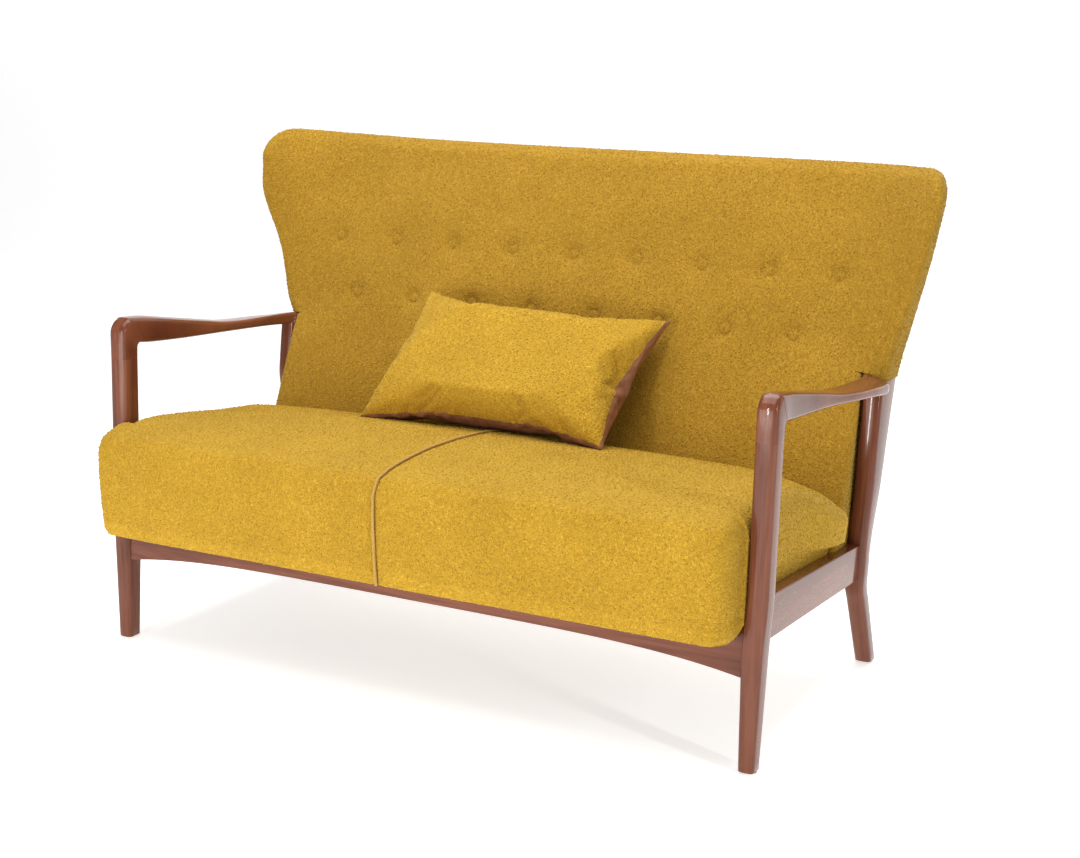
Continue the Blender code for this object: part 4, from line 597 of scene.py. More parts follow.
def boucleTree():
    tree = bpy.data.node_groups.new("boucleCurls", "GeometryNodeTree")
    face = tree.interface
    face.new_socket("Geometry", in_out="INPUT", socket_type="NodeSocketGeometry")
    keys = {}
    for name, value in (("Curl Size", 0.0062), ("Bump Height", 0.0006), ("Curl Gap", 0.0052),
                        ("Curl Density", 36000.0), ("Curl Radius", 0.0016)):
        socket = face.new_socket(name, in_out="INPUT", socket_type="NodeSocketFloat")
        socket.default_value = value
        keys[name] = socket.identifier
    socket = face.new_socket("Seed", in_out="INPUT", socket_type="NodeSocketInt")
    keys["Seed"] = socket.identifier
    socket = face.new_socket("Cloth", in_out="INPUT", socket_type="NodeSocketMaterial")
    keys["Cloth"] = socket.identifier
    face.new_socket("Geometry", in_out="OUTPUT", socket_type="NodeSocketGeometry")
    source = tree.nodes.new("NodeGroupInput").outputs
    place = addNode(tree, "GeometryNodeInputPosition").outputs[0]
    normal = addNode(tree, "GeometryNodeInputNormal").outputs[0]
    perMetre = addNode(tree, "ShaderNodeMath", {0: 1.0, 1: source["Curl Size"]}, operation="DIVIDE")
    cells = addNode(tree, "ShaderNodeTexVoronoi", {"Vector": place, "Scale": perMetre.outputs[0]},
                    feature="F1")
    lift = addNode(tree, "ShaderNodeMapRange", {"Value": cells.outputs["Distance"], "From Min": 0.1,
                                                "From Max": 0.75, "To Min": 0.6, "To Max": -0.6})
    lift = addNode(tree, "ShaderNodeMath", {0: lift.outputs["Result"], 1: source["Bump Height"]},
                   operation="MULTIPLY")
    offset = addNode(tree, "ShaderNodeVectorMath", {0: normal, "Scale": lift.outputs[0]},
                     operation="SCALE")
    base = addNode(tree, "GeometryNodeSetPosition", {"Geometry": source["Geometry"],
                                                     "Offset": offset.outputs[0]})
    amount = addNode(tree, "GeometryNodeInputNamedAttribute", {"Name": "curlShare"},
                     data_type="FLOAT")
    points = addNode(tree, "GeometryNodeDistributePointsOnFaces", {
        "Mesh": base.outputs[0], "Distance Min": source["Curl Gap"],
        "Density Max": source["Curl Density"], "Density Factor": amount.outputs["Attribute"],
        "Seed": source["Seed"]}, distribute_method="POISSON")
    ball = addNode(tree, "GeometryNodeMeshIcoSphere", {"Radius": source["Curl Radius"],
                                                       "Subdivisions": 1})
    nub = addNode(tree, "GeometryNodeTransform", {"Geometry": ball.outputs["Mesh"],
                                                  "Scale": (1.5, 0.85, 0.75)})
    turn = addNode(tree, "FunctionNodeRandomValue",
                   {0: (-0.5, -0.5, -3.14), 1: (0.5, 0.5, 3.14), "Seed": source["Seed"]},
                   data_type="FLOAT_VECTOR")
    turned = addNode(tree, "FunctionNodeEulerToRotation", {0: turn.outputs[0]})
    facing = addNode(tree, "FunctionNodeRotateRotation",
                     {0: points.outputs["Rotation"], 1: turned.outputs[0]},
                     rotation_space="LOCAL")
    size = addNode(tree, "FunctionNodeRandomValue", {2: 0.75, 3: 1.25, "Seed": source["Seed"]},
                   data_type="FLOAT")
    curls = addNode(tree, "GeometryNodeInstanceOnPoints", {
        "Points": points.outputs["Points"], "Instance": nub.outputs[0],
        "Rotation": facing.outputs[0], "Scale": size.outputs[1]})
    real = addNode(tree, "GeometryNodeRealizeInstances", {0: curls.outputs[0]})
    both = addNode(tree, "GeometryNodeJoinGeometry")
    tree.links.new(real.outputs[0], both.inputs[0])
    tree.links.new(base.outputs[0], both.inputs[0])
    smooth = addNode(tree, "GeometryNodeSetShadeSmooth", {0: both.outputs[0]})
    cloth = addNode(tree, "GeometryNodeSetMaterial", {"Geometry": smooth.outputs[0],
                                                      "Material": source["Cloth"]})
    tree.links.new(cloth.outputs[0], tree.nodes.new("NodeGroupOutput").inputs[0])
    return tree, keys


curlTree, curlKeys = boucleTree()


def growCurls(piece, settings):
    modifier = piece.modifiers.new("curls", "NODES")
    modifier.node_group = curlTree
    for name, value in settings.items():
        modifier[curlKeys[name]] = value
    bpy.context.view_layer.update()
    grown = piece.evaluated_get(bpy.context.evaluated_depsgraph_get())
    done = bpy.data.meshes.new_from_object(grown)
    old = piece.data
    piece.modifiers.remove(modifier)
    piece.data = done
    done.name = old.name
    bpy.data.meshes.remove(old)


def clothPiece(name, points, faces, share, settings):
    piece = addPiece(name, points, faces, settings["Cloth"])
    attribute = piece.data.attributes.new("curlShare", "FLOAT", "POINT")
    attribute.data.foreach_set("value", np.asarray(share, np.float32))
    growCurls(piece, settings)
    return piece


# Seat and back sizes. The seat's rear end follows the back's front, so both stand here.
seat = {
    "pitch": 0.0042, "wave": 0.0010, "base": 0.2445, "borderBase": 0.2206, "top": 0.427,
    "inner": 0.6067, "front": -0.0905, "middleY": 0.15, "backGap": 0.0004,
    "round": 0.050, "sideRound": 0.028, "topRound": 0.037, "rearRound": 0.020,
    "borderGap": 0.0035, "borderBack": 0.0005, "left": 0.0235, "right": -0.006, "widen": 0.0003,
    "widenRun": 0.10, "cornerCut": 0.008, "cutRun": 0.016,
    "bulgeLeft": 0.011, "bulgeRight": 0.006, "railGap": 0.004, "bulgeFrom": 0.03,
    "bulgeRun": 0.06, "bulgeTo": 0.485, "bulgeEnd": 0.03,
    "rearOut": 0.022, "rearOutFrom": 0.2, "rearOutRun": 0.2,
    "peakY": 0.14, "fall": 0.40, "sideDrop": 0.010, "dropRun": 0.30,
    "leftHollow": 0.011, "hollowY": 0.22, "hollowRun": 0.11,
    "leftCorner": 0.007, "cornerY": 0.01, "cornerRun": 0.06,
    "rearFall": 0.031, "fallStart": 0.42, "fallEnd": 0.61, "fallFrom": 0.16, "fallRun": 0.26,
    "lean": 0.0125, "leanRun": 0.13, "rearLeanFrom": 0.26,
    "ridge": 0.0026, "ridgeY": -0.074, "ridgeZ": 0.404, "ridgeRun": 0.011,
    "seamX": -0.025, "seamHalf": 0.006, "seamDepth": 0.003, "bareRear": 0.03,
}
back = {
    "pitch": 0.0042, "wave": 0.0010, "base": 0.2365, "top": 0.924, "frontY": 0.3934,
    "slope": 0.40, "half": 0.6067, "topThick": 0.0417, "railTuck": 0.002, "fixed": 0.50,
    "round": 0.022, "lowRound": 0.012, "rearRound": 0.007, "ear": 0.039, "earLeft": 0.043,
    "wingBaseHalf": 0.646, "wingHalf": 0.722, "wingLow": 0.5644, "wingBase": 0.5724,
    "wingTop": 0.880, "forward": 0.105, "wingStart": 0.4775, "wingCurl": 0.4, "wingStep": 0.004,
    "liftLeft": 0.0165, "liftRight": 0.0, "liftSpan": 0.077, "waist": 0.014, "waistRun": 0.018,
    "shoulder": 0.0141, "shoulderZ": 0.80, "shoulderAbove": 0.055, "shoulderBelow": 0.085,
    "rightOut": 0.0035, "rightOutTo": 0.88, "rightOutRun": 0.1,
    "rightIn": 0.004, "rightInFrom": 0.86, "rightInRun": 0.04,
    "bulge": 0.009, "bulgeRun": 0.08, "postGap": 0.004, "leastRoom": 0.004,
    "sag": 0.006, "sagRun": 0.03, "sagFrom": 0.56, "sagSide": 0.06,
    "cornerSag": 0.014, "cornerFrom": 0.622, "cornerRun": 0.03, "frontDepth": 8,
    "bareRear": 0.97, "bareLow": 0.33, "bareHalf": 0.56,
}


def backFront(z):
    return back["frontY"] + back["slope"] * (z - back["base"])


def backRear(z):
    bottom = postFront(rails["rearTop"]) + rails["rearSetBack"] + rails["rearThick"]
    bottom -= back["railTuck"]
    top = backFront(back["top"]) + back["topThick"]
    return bottom + (top - bottom) * (z - back["base"]) / (back["top"] - back["base"])


# A point of the plain box goes to its place on the seat: edges are rounded first, then the
# border and the sides swell, the top falls away, and the front leans and carries the seam.
def seatSurface(nominal):
    x, y, z = nominal.T
    size = np.abs(x)
    rear = backFront(seat["top"]) - seat["backGap"]
    stepFront = -legs["depth"] / 2 - seat["borderGap"]
    inFront = y < seat["middleY"]
    roundY = np.where(inFront, seat["round"], seat["rearRound"])
    fromEnd = np.where(inFront, y - seat["front"], rear - y)
    straight = seat["inner"] - seat["sideRound"]
    over = np.stack([np.maximum(0, size - straight) / seat["sideRound"],
                     np.maximum(0, roundY - fromEnd) / roundY,
                     np.maximum(0, z - (seat["top"] - seat["topRound"])) / seat["topRound"]])
    length = np.maximum(np.linalg.norm(over, axis=0), 1e-9)
    pull = np.where(length > 1, 1 - 1 / length, 0)
    realX = size - over[0] * pull * seat["sideRound"]
    realY = y + over[1] * pull * roundY * np.where(inFront, 1, -1)
    realZ = z - over[2] * pull * seat["topRound"]
    border = y < stepFront + 1e-5
    wider = np.where(x > 0, seat["right"], seat["left"]) + seat["widen"]
    low = smoothStep((seat["borderBase"] + seat["cutRun"] - z) / seat["cutRun"])
    atSide = smoothStep((size - straight + seat["widenRun"]) / seat["widenRun"])
    realX += np.where(border, (wider - seat["cornerCut"] * low ** 2) * atSide, 0)
    rearOut = seat["rearOut"] * smoothStep((y - seat["rearOutFrom"]) / seat["rearOutRun"])
    bulge = np.where(x > 0, seat["bulgeRight"] + rearOut, seat["bulgeLeft"])
    level = (z - rails["sideTop"] - seat["railGap"]) / (seat["top"] - rails["sideTop"])
    level = np.clip(level, 0, 1)
    reach = (np.clip((y - seat["bulgeFrom"]) / seat["bulgeRun"], 0, 1)
             * np.clip((seat["bulgeTo"] - y) / seat["bulgeEnd"], 0, 1))
    belly = np.where(x > 0, smoothStep(level * 5) * (1 - 0.5 * smoothStep((level - 0.6) / 0.4)),
                     np.sin(np.pi * np.clip(level * 1.25, 0, 1)))
    realX += bulge * belly * reach * smoothStep((size - straight) / seat["sideRound"])
    base = np.where(border, seat["borderBase"], seat["base"])
    share = np.clip((realZ - base) / (seat["top"] - base), 0, 1)
    toSide = realX / legs["innerHalf"]
    drop = seat["sideDrop"] * toSide ** 2 * np.clip(realY / seat["dropRun"], 0, 1)
    toLeft = np.where(x < 0, toSide ** 4, 0)
    hollow = np.exp(-((realY - seat["hollowY"]) / seat["hollowRun"]) ** 2)
    corner = np.exp(-((realY - seat["cornerY"]) / seat["cornerRun"]) ** 2)
    drop += toLeft * seat["leftHollow"] * hollow
    drop -= toLeft * seat["leftCorner"] * corner
    toRight = np.where(x > 0, realX, 0) - seat["fallStart"]
    toRight = np.clip(toRight / (seat["fallEnd"] - seat["fallStart"]), 0, 1)
    toRear = smoothStep((realY - seat["fallFrom"]) / seat["fallRun"])
    drop += seat["rearFall"] * toRight ** 2 * toRear
    top = seat["top"] - seat["fall"] * (realY - seat["peakY"]) ** 2 - drop
    realZ = base + (top - base) * share
    upFront = np.clip((realZ - seat["borderBase"]) / seat["leanRun"], 0, 1)
    lean = 1 - np.sin(np.pi / 2 * upFront)
    frontWeight = np.clip((stepFront - y) / (stepFront - seat["front"]), 0, 1)
    rearWeight = np.clip((y - seat["rearLeanFrom"]) / (rear - seat["rearLeanFrom"]), 0, 1)
    rearLean = backFront(realZ) - backFront(seat["top"])
    realY = realY + seat["lean"] * lean * frontWeight + rearLean * rearWeight
    places = np.stack([np.where(x > 0, realX, -realX), realY, realZ], axis=1)
    waves = softNoise(places, 0.24, 4) + 0.35 * softNoise(places, 0.08, 5)
    toRidge = np.hypot(places[:, 1] - seat["ridgeY"], places[:, 2] - seat["ridgeZ"])
    ridge = seat["ridge"] * np.exp(-(toRidge / seat["ridgeRun"]) ** 2)
    places[:, 1] -= ridge
    places[:, 2] += ridge
    places[:, 2] += seat["wave"] * waves * share
    places[:, 1] += seat["wave"] * waves * frontWeight
    groove = seat["seamDepth"] * np.exp(-((places[:, 0] - seat["seamX"]) / seat["seamHalf"]) ** 2)
    places[:, 2] -= groove * (z > seat["top"] - 0.001)
    places[:, 1] += groove * (y < seat["front"] + 0.001)
    return places


def seatCushion():
    rear = backFront(seat["top"]) - seat["backGap"]
    step = -legs["depth"] / 2
    xs = spread([-seat["inner"], seat["inner"]], seat["pitch"])
    ys = spread([seat["front"], step - seat["borderGap"], step - seat["borderBack"], rear],
                seat["pitch"])
    zs = spread([seat["borderBase"], seat["base"], seat["top"]], seat["pitch"])
    nominal, faces = boxSkin(xs, ys, zs)
    behind = (nominal[:, 1] > step - 0.002) & (nominal[:, 2] < seat["base"])
    places = seatSurface(nominal)
    places[behind, 2] = seat["base"]
    share = np.ones(len(places))
    share[places[:, 2] < seat["base"] + 0.001] = 0.3
    share[nominal[:, 1] > rear - seat["bareRear"]] = 0.0   # no curls where the back covers it
    share[behind] = 0.0
    piece = clothPiece("seatCushion", places, faces, share, {"Seed": 3, "Cloth": seatCloth})
    return settle(piece, "sofa", "boucle", "seat_cover", "seat_padding")


seatCushion()


# Back
buttons = {
    "pitch": 0.135, "middleX": -0.005, "rows": ((9, 0.723), (8, 0.613)), "dimple": 0.011,
    "spread": 0.030, "sink": 0.0006, "around": 28, "wobble": 0.03, "slopeStep": 0.01,
    "profile": ((0.010, -0.004), (0.0118, -0.001), (0.0122, 0.0015), (0.0112, 0.0038),
                (0.0088, 0.0054), (0.0055, 0.0062), (0.0020, 0.0065)),   # radius, height
}


def wingRise(z):
    return np.clip((z - back["wingBase"]) / (back["wingTop"] - back["wingBase"]), 0, 1)


def wingCurve(x, z):
    across = (np.abs(x) - back["wingStart"]) / (back["wingHalf"] - back["wingStart"])
    across = np.clip(across, 0, 1.2)
    up = wingRise(z)
    rise = smoothStep(up) * back["wingCurl"] + up * (1 - back["wingCurl"])
    return back["forward"] * across ** 2 * rise


def buttonXs(count):
    return [buttons["middleX"] + (i - (count - 1) / 2) * buttons["pitch"] for i in range(count)]


def buttonSpots():
    return [(x, z) for count, z in buttons["rows"] for x in buttonXs(count)]


def dimples(x, z):
    depth = np.zeros(np.shape(x))
    for atX, atZ in buttonSpots():
        away = ((x - atX) ** 2 + (z - atZ) ** 2) / buttons["spread"] ** 2
        wide = 0.7 * np.exp(-np.sqrt(away + 0.02) * 1.3)
        close = 0.6 * np.exp(-away * 3.2)
        depth += buttons["dimple"] * (wide + close)
    return depth


def backHalf(z, right):
    wing = back["wingBaseHalf"] + (back["wingHalf"] - back["wingBaseHalf"]) * wingRise(z)
    aboveBase = np.exp(-np.maximum(z - back["wingBase"], 0) / back["waistRun"])
    run = np.where(z > back["shoulderZ"], back["shoulderAbove"], back["shoulderBelow"])
    shoulder = back["shoulder"] * np.exp(-((z - back["shoulderZ"]) / run) ** 2)
    outer = back["rightOut"] * np.clip((back["rightOutTo"] - z) / back["rightOutRun"], 0, 1)
    outer -= back["rightIn"] * smoothStep((z - back["rightInFrom"]) / back["rightInRun"])
    wing += np.where(right, outer, shoulder - back["waist"] * aboveBase)
    return np.where(z < back["wingBase"] - back["wingStep"], back["half"], wing)


# The back's outline at a height: real half width and height, how far a point is from the edge,
# and which way the edge faces
def backOutline(size, z, right):
    half = backHalf(z, right)
    fixed = back["fixed"]
    wider = fixed + (size - fixed) * (half - fixed) / (back["half"] - fixed)
    size = np.where(size > fixed, wider, size)
    fromEdge = half - size
    radius = np.where(right, back["ear"], back["earLeft"])
    overX = np.maximum(size - (half - radius), 0)
    overZ = np.maximum(z - (back["top"] - radius), 0)
    both = (overX > 0) & (overZ > 0)
    scale = np.where(both, np.maximum(overX, overZ) / np.maximum(np.hypot(overX, overZ), 1e-9), 1)
    outX = np.where(both, overX, (fromEdge < back["top"] - z) * 1.0)
    outZ = np.where(both, overZ, (fromEdge >= back["top"] - z) * 1.0)
    norm = np.maximum(np.hypot(outX, outZ), 1e-9)
    realSize = size + overX * (scale - 1)
    realZ = z + overZ * (scale - 1)
    most = np.where(right, back["liftRight"], back["liftLeft"])
    lift = most * np.clip(realSize / back["wingHalf"], 0, 1) ** 4
    lift = lift * np.clip((realZ - back["top"]) / back["liftSpan"] + 1, 0, 1)
    return realSize, realZ + lift, fromEdge, outX / norm, outZ / norm


postHeights = np.linspace(0.2, 0.6, 60)
postFronts = np.array([postFront(z) for z in postHeights])


def backSurface(nominal):
    x, depth, z = nominal.T
    size, realZ, fromEdge, outX, outZ = backOutline(np.abs(x), z, x > 0)
    front = backFront(realZ)
    thick = backRear(realZ) - front
    along = thick * depth
    radius = np.where(z < back["wingLow"], back["lowRound"], back["round"])
    rearRadius = np.full_like(radius, back["rearRound"])
    for toFace, sign, bend in ((along, 1, radius), (thick - along, -1, rearRadius)):
        overEdge = np.maximum(0, bend - np.minimum(fromEdge, back["top"] - z))
        overY = np.maximum(0, bend - toFace)
        length = np.maximum(np.hypot(overEdge, overY), 1e-9)
        pull = np.where(length > bend, 1 - bend / length, 0)
        size = size - overEdge * pull * outX
        realZ = realZ - overEdge * pull * outZ
        along = along + sign * overY * pull
    room = np.interp(realZ, postHeights, postFronts) - back["postGap"] - front
    beside = np.clip(1 - along / np.maximum(room, back["leastRoom"]), 0, 1)
    beside = beside * (z < back["wingLow"] + 1e-4)
    atSide = smoothStep((size - back["fixed"]) / back["bulgeRun"])
    size = size + back["bulge"] * np.sqrt(beside) * atSide
    realX = np.where(x > 0, size, -size)
    y = front + along - wingCurve(realX, realZ)
    low = np.exp(-np.maximum(z - back["wingBase"], 0) / back["sagRun"])
    low = low * (z > back["wingLow"] + 1e-4)
    sag = back["sag"] * smoothStep((np.abs(realX) - back["sagFrom"]) / back["sagSide"])
    atCorner = smoothStep((realX - back["cornerFrom"]) / back["cornerRun"])
    realZ = realZ - low * (sag + back["cornerSag"] * atCorner)
    places = np.stack([realX, y, realZ], axis=1)
    faceShare = np.clip(1 - depth * back["frontDepth"], 0, 1)
    waves = softNoise(places, 0.22, 8) + 0.5 * softNoise(places, 0.08, 9)
    places[:, 1] += (dimples(realX, realZ) + back["wave"] * waves) * faceShare
    return places


def backCushion():
    xs = spread([-back["half"], back["half"]], back["pitch"])
    depths = [0.0, 0.03, 0.07, 0.12, 0.18, 0.25, *np.linspace(0.32, 0.86, 9), 0.92, 0.96, 1.0]
    zs = spread([back["base"], back["wingLow"], back["wingBase"], back["top"]], back["pitch"])
    nominal, faces = boxSkin(xs, depths, zs)
    places = backSurface(nominal)
    share = np.ones(len(places))
    share[nominal[:, 1] > back["bareRear"]] = 0.0   # no curls under the panel or behind the seat
    share[(places[:, 2] < back["bareLow"]) & (np.abs(places[:, 0]) < back["bareHalf"])] = 0.0
    piece = clothPiece("backCushion", places, faces, share, {"Seed": 11, "Cloth": paintedShadeCloth})
    return settle(piece, "sofa", "boucle", "back_cover", "back_padding")


backCushion()


panel = {"pitch": 0.006, "inset": 0.992, "layers": (-0.002, 0.0015, 0.0034), "curls": 0.75}


def backPanel():
    xs = spread([-back["half"], back["half"]], panel["pitch"])
    zs = spread([back["base"], back["wingLow"], back["wingBase"], back["top"]], panel["pitch"])
    nominal, faces = boxSkin(xs, range(len(panel["layers"])), zs)
    layer = nominal[:, 1].astype(int)
    middle = (back["base"] + back["top"]) / 2
    insetX = nominal[:, 0] * panel["inset"]
    insetZ = middle + (nominal[:, 2] - middle) * panel["inset"]
    places = backSurface(np.column_stack([insetX, np.ones(len(nominal)), insetZ]))
    places[:, 1] += np.array(panel["layers"])[layer]
    share = np.where(layer == layer.max(), panel["curls"], 0.0)
    piece = clothPiece("backPanel", places, faces, share,
                       {"Seed": 19, "Cloth": paintedShadeCloth, "Curl Gap": 0.0075,
                        "Curl Density": 18000.0})
    return settle(piece, "sofa", "boucle", "back_outside_cover")


backPanel()


def buttonRow(name, count, z, seed):
    points = []
    faces = []
    around, step, profile = (buttons[key] for key in ("around", "slopeStep", "profile"))
    for i, x in enumerate(buttonXs(count)):
        across = (wingCurve(x - step, z) - wingCurve(x + step, z)) / (2 * step)
        up = (wingCurve(x, z - step) - wingCurve(x, z + step)) / (2 * step)
        normal = Vector((across, -1, back["slope"] + up)).normalized()
        turn = normal.to_track_quat("Z", "Y").to_matrix()
        spot = Vector((x, float(backFront(z) + dimples(x, z) - wingCurve(x, z)), z))
        first = len(points)
        for radius, height in profile:
            for j in range(around):
                angle = 2 * math.pi * j / around
                reach = radius * (1 + buttons["wobble"] * math.sin(3 * angle + i * 1.7))
                local = Vector((reach * math.cos(angle), reach * math.sin(angle),
                                height - buttons["sink"]))
                points.append(tuple(spot + turn @ local))
        faces += sideFaces(len(profile), around, first)
        faces.append(tuple(first + j for j in reversed(range(around))))
        faces.append(tuple(first + (len(profile) - 1) * around + j for j in range(around)))
    piece = clothPiece(f"buttons{name.title()}", points, faces, np.ones(len(points)),
                       {"Seed": seed, "Cloth": paintedShadeCloth, "Bump Height": 0.0005,
                        "Curl Gap": 0.0040, "Curl Density": 60000.0})
    return settle(piece, "sofa", "boucle", f"button_row_{name}")


for name, (count, z), seed in zip(("upper", "lower"), buttons["rows"], (23, 29)):
    buttonRow(name, count, z, seed)


# Piped seam across the seat
piping = {
    "radius": 0.0027, "raised": 1.4, "around": 14, "twist": 0.10, "strands": 3, "turning": 900,
    "frontStops": 40, "topStops": 100, "rearGap": 0.03,
}


def seatPiping():
    rear = backFront(seat["top"]) - piping["rearGap"]
    upFront = np.linspace(seat["borderBase"], seat["top"], piping["frontStops"])
    alongTop = np.linspace(seat["front"], rear, piping["topStops"])[1:]
    stops = [(seat["front"], z) for z in upFront] + [(y, seat["top"]) for y in alongTop]
    line = seatSurface(np.array([(seat["seamX"], y, z) for y, z in stops]))
    line = curveThrough(line, 2)
    radius, around, strands = (piping[key] for key in ("radius", "around", "strands"))
    rings = []
    steps = np.gradient(line, axis=0)
    lengths = np.concatenate([[0], np.cumsum(np.linalg.norm(np.diff(line, axis=0), axis=1))])
    for place, along, distance in zip(line, steps, lengths):
        along = along / np.linalg.norm(along)
        normal = np.array((0.0, -along[2], along[1]))
        side = np.array((1.0, 0.0, 0.0))
        centre = place + normal * radius * piping["raised"]
        ring = []
        for j in range(around):
            angle = 2 * math.pi * j / around
            twist = 1 + piping["twist"] * math.cos(strands * (angle - distance * piping["turning"]))
            outwards = side * math.cos(angle) + normal * math.sin(angle)
            ring.append(centre + radius * twist * outwards)
        rings.append(ring)
    piece = loft("seatPiping", rings, np.array(rings))
    piece.data.materials[0] = cordCloth
    return settle(piece, "sofa", "piping_cord", "seat_piping")


seatPiping()


# Scatter cushion
cushion = {
    "width": 0.560, "height": 0.335, "thick": 0.004, "pitch": 0.0058, "frames": 24,
    "most": 0.060, "leatherRight": 0.005, "leatherLow": 0.003, "quickSwell": 0.054,
    "seatTuck": 0.002, "backGap": 0.001,
    "corners": ((-0.296, 0.285, 0.412), (0.221, 0.268, 0.419),   # lower left and right
                (-0.279, 0.513, 0.634), (0.238, 0.517, 0.622)),   # upper left and right
    "cloth": {"quality": 6, "mass": 0.25, "use_pressure": True, "uniform_pressure_force": 5.0,
              "tension_stiffness": 25, "compression_stiffness": 12, "shear_stiffness": 8,
              "bending_stiffness": 0.6, "air_damping": 3},
}


def inflate(points, faces):
    case = addPiece("cushionCase", points, faces, leather)
    modifier = case.modifiers.new("cloth", "CLOTH")
    for key, value in cushion["cloth"].items():
        setattr(modifier.settings, key, value)
    modifier.settings.effector_weights.gravity = 0
    for step in range(1, cushion["frames"] + 1):
        bpy.context.scene.frame_set(step)
    done = case.evaluated_get(bpy.context.evaluated_depsgraph_get()).data
    places = np.empty(len(done.vertices) * 3)
    done.vertices.foreach_get("co", places)
    places = places.reshape(-1, 3) - (0.0, shift, 0.0)
    mesh = case.data
    bpy.data.objects.remove(case)
    bpy.data.meshes.remove(mesh)
    bpy.context.scene.frame_set(1)
    return places


def facesWhere(wanted, points, faces):
    chosen = [faces[i] for i in np.flatnonzero(wanted)]
    used = sorted({corner for face in chosen for corner in face})
    index = {old: new for new, old in enumerate(used)}
    return points[used], [tuple(index[corner] for corner in face) for face in chosen]


# The leather cover takes the rear face and a strip of the right and the lower edge.
def scatterCushion():
    halfWidth = cushion["width"] / 2
    halfHeight = cushion["height"] / 2
    xs = spread([-halfWidth, halfWidth], cushion["pitch"])
    ys = spread([-halfHeight, halfHeight], cushion["pitch"])
    flat, faces = boxSkin(xs, ys, [-cushion["thick"] / 2, cushion["thick"] / 2])
    places = inflate(flat, faces)
    places[:, 2] = np.clip(places[:, 2], -cushion["most"], cushion["most"])
    atCorner = (np.abs(flat[:, 0]) > halfWidth - 1e-6) & (np.abs(flat[:, 1]) > halfHeight - 1e-6)
    reach = np.abs(places[atCorner]).mean(axis=0)
    print("cushion corners", reach.round(4), "thickness", np.ptp(places[:, 2]).round(4))
    across = (places[:, 0] / reach[0] + 1) / 2
    upward = (places[:, 1] / reach[1] + 1) / 2
    lowLeft, lowRight, highLeft, highRight = (np.array(corner) for corner in cushion["corners"])
    normal = np.cross(lowRight - lowLeft, highLeft - lowLeft)
    normal /= np.linalg.norm(normal)
    across, upward = across[:, None], upward[:, None]
    middle = ((1 - upward) * ((1 - across) * lowLeft + across * lowRight)
              + upward * ((1 - across) * highLeft + across * highRight))
    placed = middle + normal * places[:, 2:]
    seatTop = seat["top"] - seat["fall"] * (placed[:, 1] - seat["peakY"]) ** 2
    placed[:, 2] = np.maximum(placed[:, 2], seatTop - cushion["seatTuck"])
    placed[:, 1] = np.minimum(placed[:, 1], backFront(placed[:, 2]) - cushion["backGap"])
    edges = np.array([flat[list(face)].mean(axis=0) for face in faces])
    leatherSide = edges[:, 2] < 0
    leatherSide |= edges[:, 0] > halfWidth - cushion["leatherRight"]
    leatherSide |= edges[:, 1] < -halfHeight + cushion["leatherLow"]
    points, chosen = facesWhere(~leatherSide, placed, faces)
    piece = clothPiece("cushionFront", points, chosen, np.ones(len(points)),
                       {"Seed": 31, "Cloth": seatCloth})
    settle(piece, "scatter_cushion", "boucle", "cushion_front_cover", "cushion_filling")
    points, chosen = facesWhere(leatherSide, placed, faces)
    piece = addPiece("cushionBack", points, chosen, leather)
    settle(piece, "scatter_cushion", "leather", "cushion_back_cover")


scatterCushion()


# CAD nodes left showing
finishes = (
    (("dowel", "corner_block", "cleat", "stile", "_rail", "seat_frame", "wing_former"), frameWood),
    (("screw", "bolt", "springs"), steel),
    (("glide",), glidePlastic),
    (("webbing", "hessian"), jute),
    (("dust_cover",), darkCloth),
)
for nodeName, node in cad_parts.items():
    for words, material in finishes:
        if any(word in nodeName for word in words):
            node.data.materials.clear()
            node.data.materials.append(material)
            break


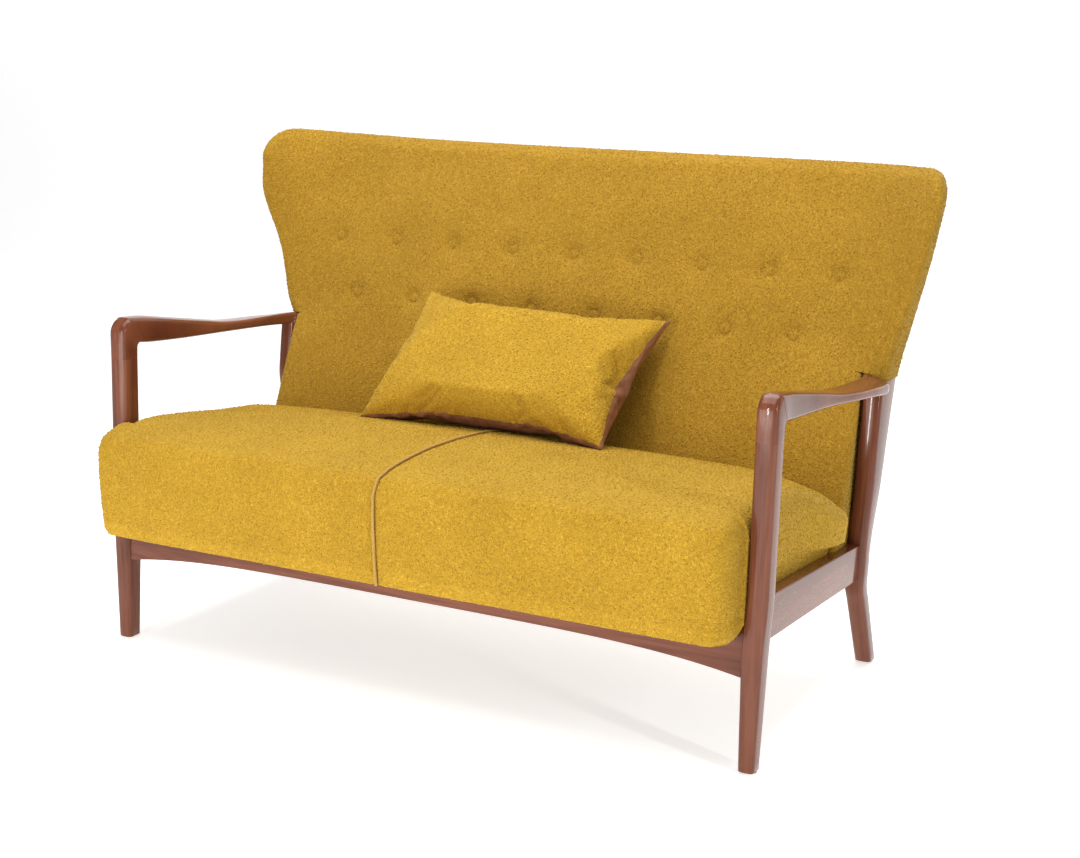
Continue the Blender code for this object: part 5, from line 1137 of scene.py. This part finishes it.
# Stage and light
floor = {"near": -6.0, "bend": 2.5, "curve": 1.5, "steps": 12, "high": 6.0, "half": 9.0}
glow = {"world": 0.18, "floor": 0.55}
lamps = {   # place, target, size, watts
    "frontStrip": ((-0.30, -3.6, 0.95), (-0.1, 0.2, 0.5), (0.22, 1.7), 42),
    "topSoftbox": ((-0.1, -0.75, 2.6), (0, 0, 0.3), (2.2, 1.6), 37),
    "overheadSoftbox": ((0.1, 0.45, 2.7), (0.05, -0.1, 0.3), (2.4, 1.2), 47),
    "rightStrip": ((3.0, -1.2, 1.2), (0.4, 0, 0.4), (0.12, 1.6), 26),
    "leftStrip": ((-2.9, -1.6, 1.2), (-0.4, 0, 0.4), (0.22, 1.6), 3),
    "lowFront": ((-0.4, -2.1, 0.35), (0.1, 0, 0.3), (2.2, 0.5), 12),
}


def floorAndBackdrop():
    made, _, shader = newMaterial("paleFloor")
    shader.inputs["Base Color"].default_value = (0.85, 0.85, 0.85, 1)
    shader.inputs["Roughness"].default_value = 0.8
    shader.inputs["Emission Color"].default_value = (1, 1, 1, 1)
    shader.inputs["Emission Strength"].default_value = glow["floor"]
    points = []
    faces = []
    profile = [(floor["near"], 0.0), (floor["bend"], 0.0)]
    for step in range(1, floor["steps"] + 1):
        angle = math.pi / 2 * step / floor["steps"]
        profile.append((floor["bend"] + floor["curve"] * math.sin(angle),
                        floor["curve"] * (1 - math.cos(angle))))
    profile.append((floor["bend"] + floor["curve"], floor["high"]))
    for y, z in profile:
        points += [(-floor["half"], y, z), (floor["half"], y, z)]
    for i in range(len(profile) - 1):
        faces.append((2 * i, 2 * i + 1, 2 * i + 3, 2 * i + 2))
    piece = addPiece("floorAndBackdrop", points, faces, made)


def areaLight(name, at, target, size, power):
    data = bpy.data.lights.new(name, "AREA")
    data.shape = "RECTANGLE"
    data.size, data.size_y = size
    data.energy = power
    light = bpy.data.objects.new(name, data)
    bpy.context.scene.collection.objects.link(light)
    light.location = at
    light.rotation_euler = (Vector(target) - Vector(at)).to_track_quat("-Z", "Y").to_euler()


floorAndBackdrop()
bpy.context.scene.view_settings.view_transform = "Standard"
bpy.context.scene.view_settings.look = "None"
world = bpy.data.worlds.new("studioWorld")
world.use_nodes = True
background = world.node_tree.nodes["Background"]
background.inputs["Color"].default_value = (1, 1, 1, 1)
background.inputs["Strength"].default_value = glow["world"]
bpy.context.scene.world = world
for name, settings in lamps.items():
    areaLight(name, *settings)
print("stage and lights made")
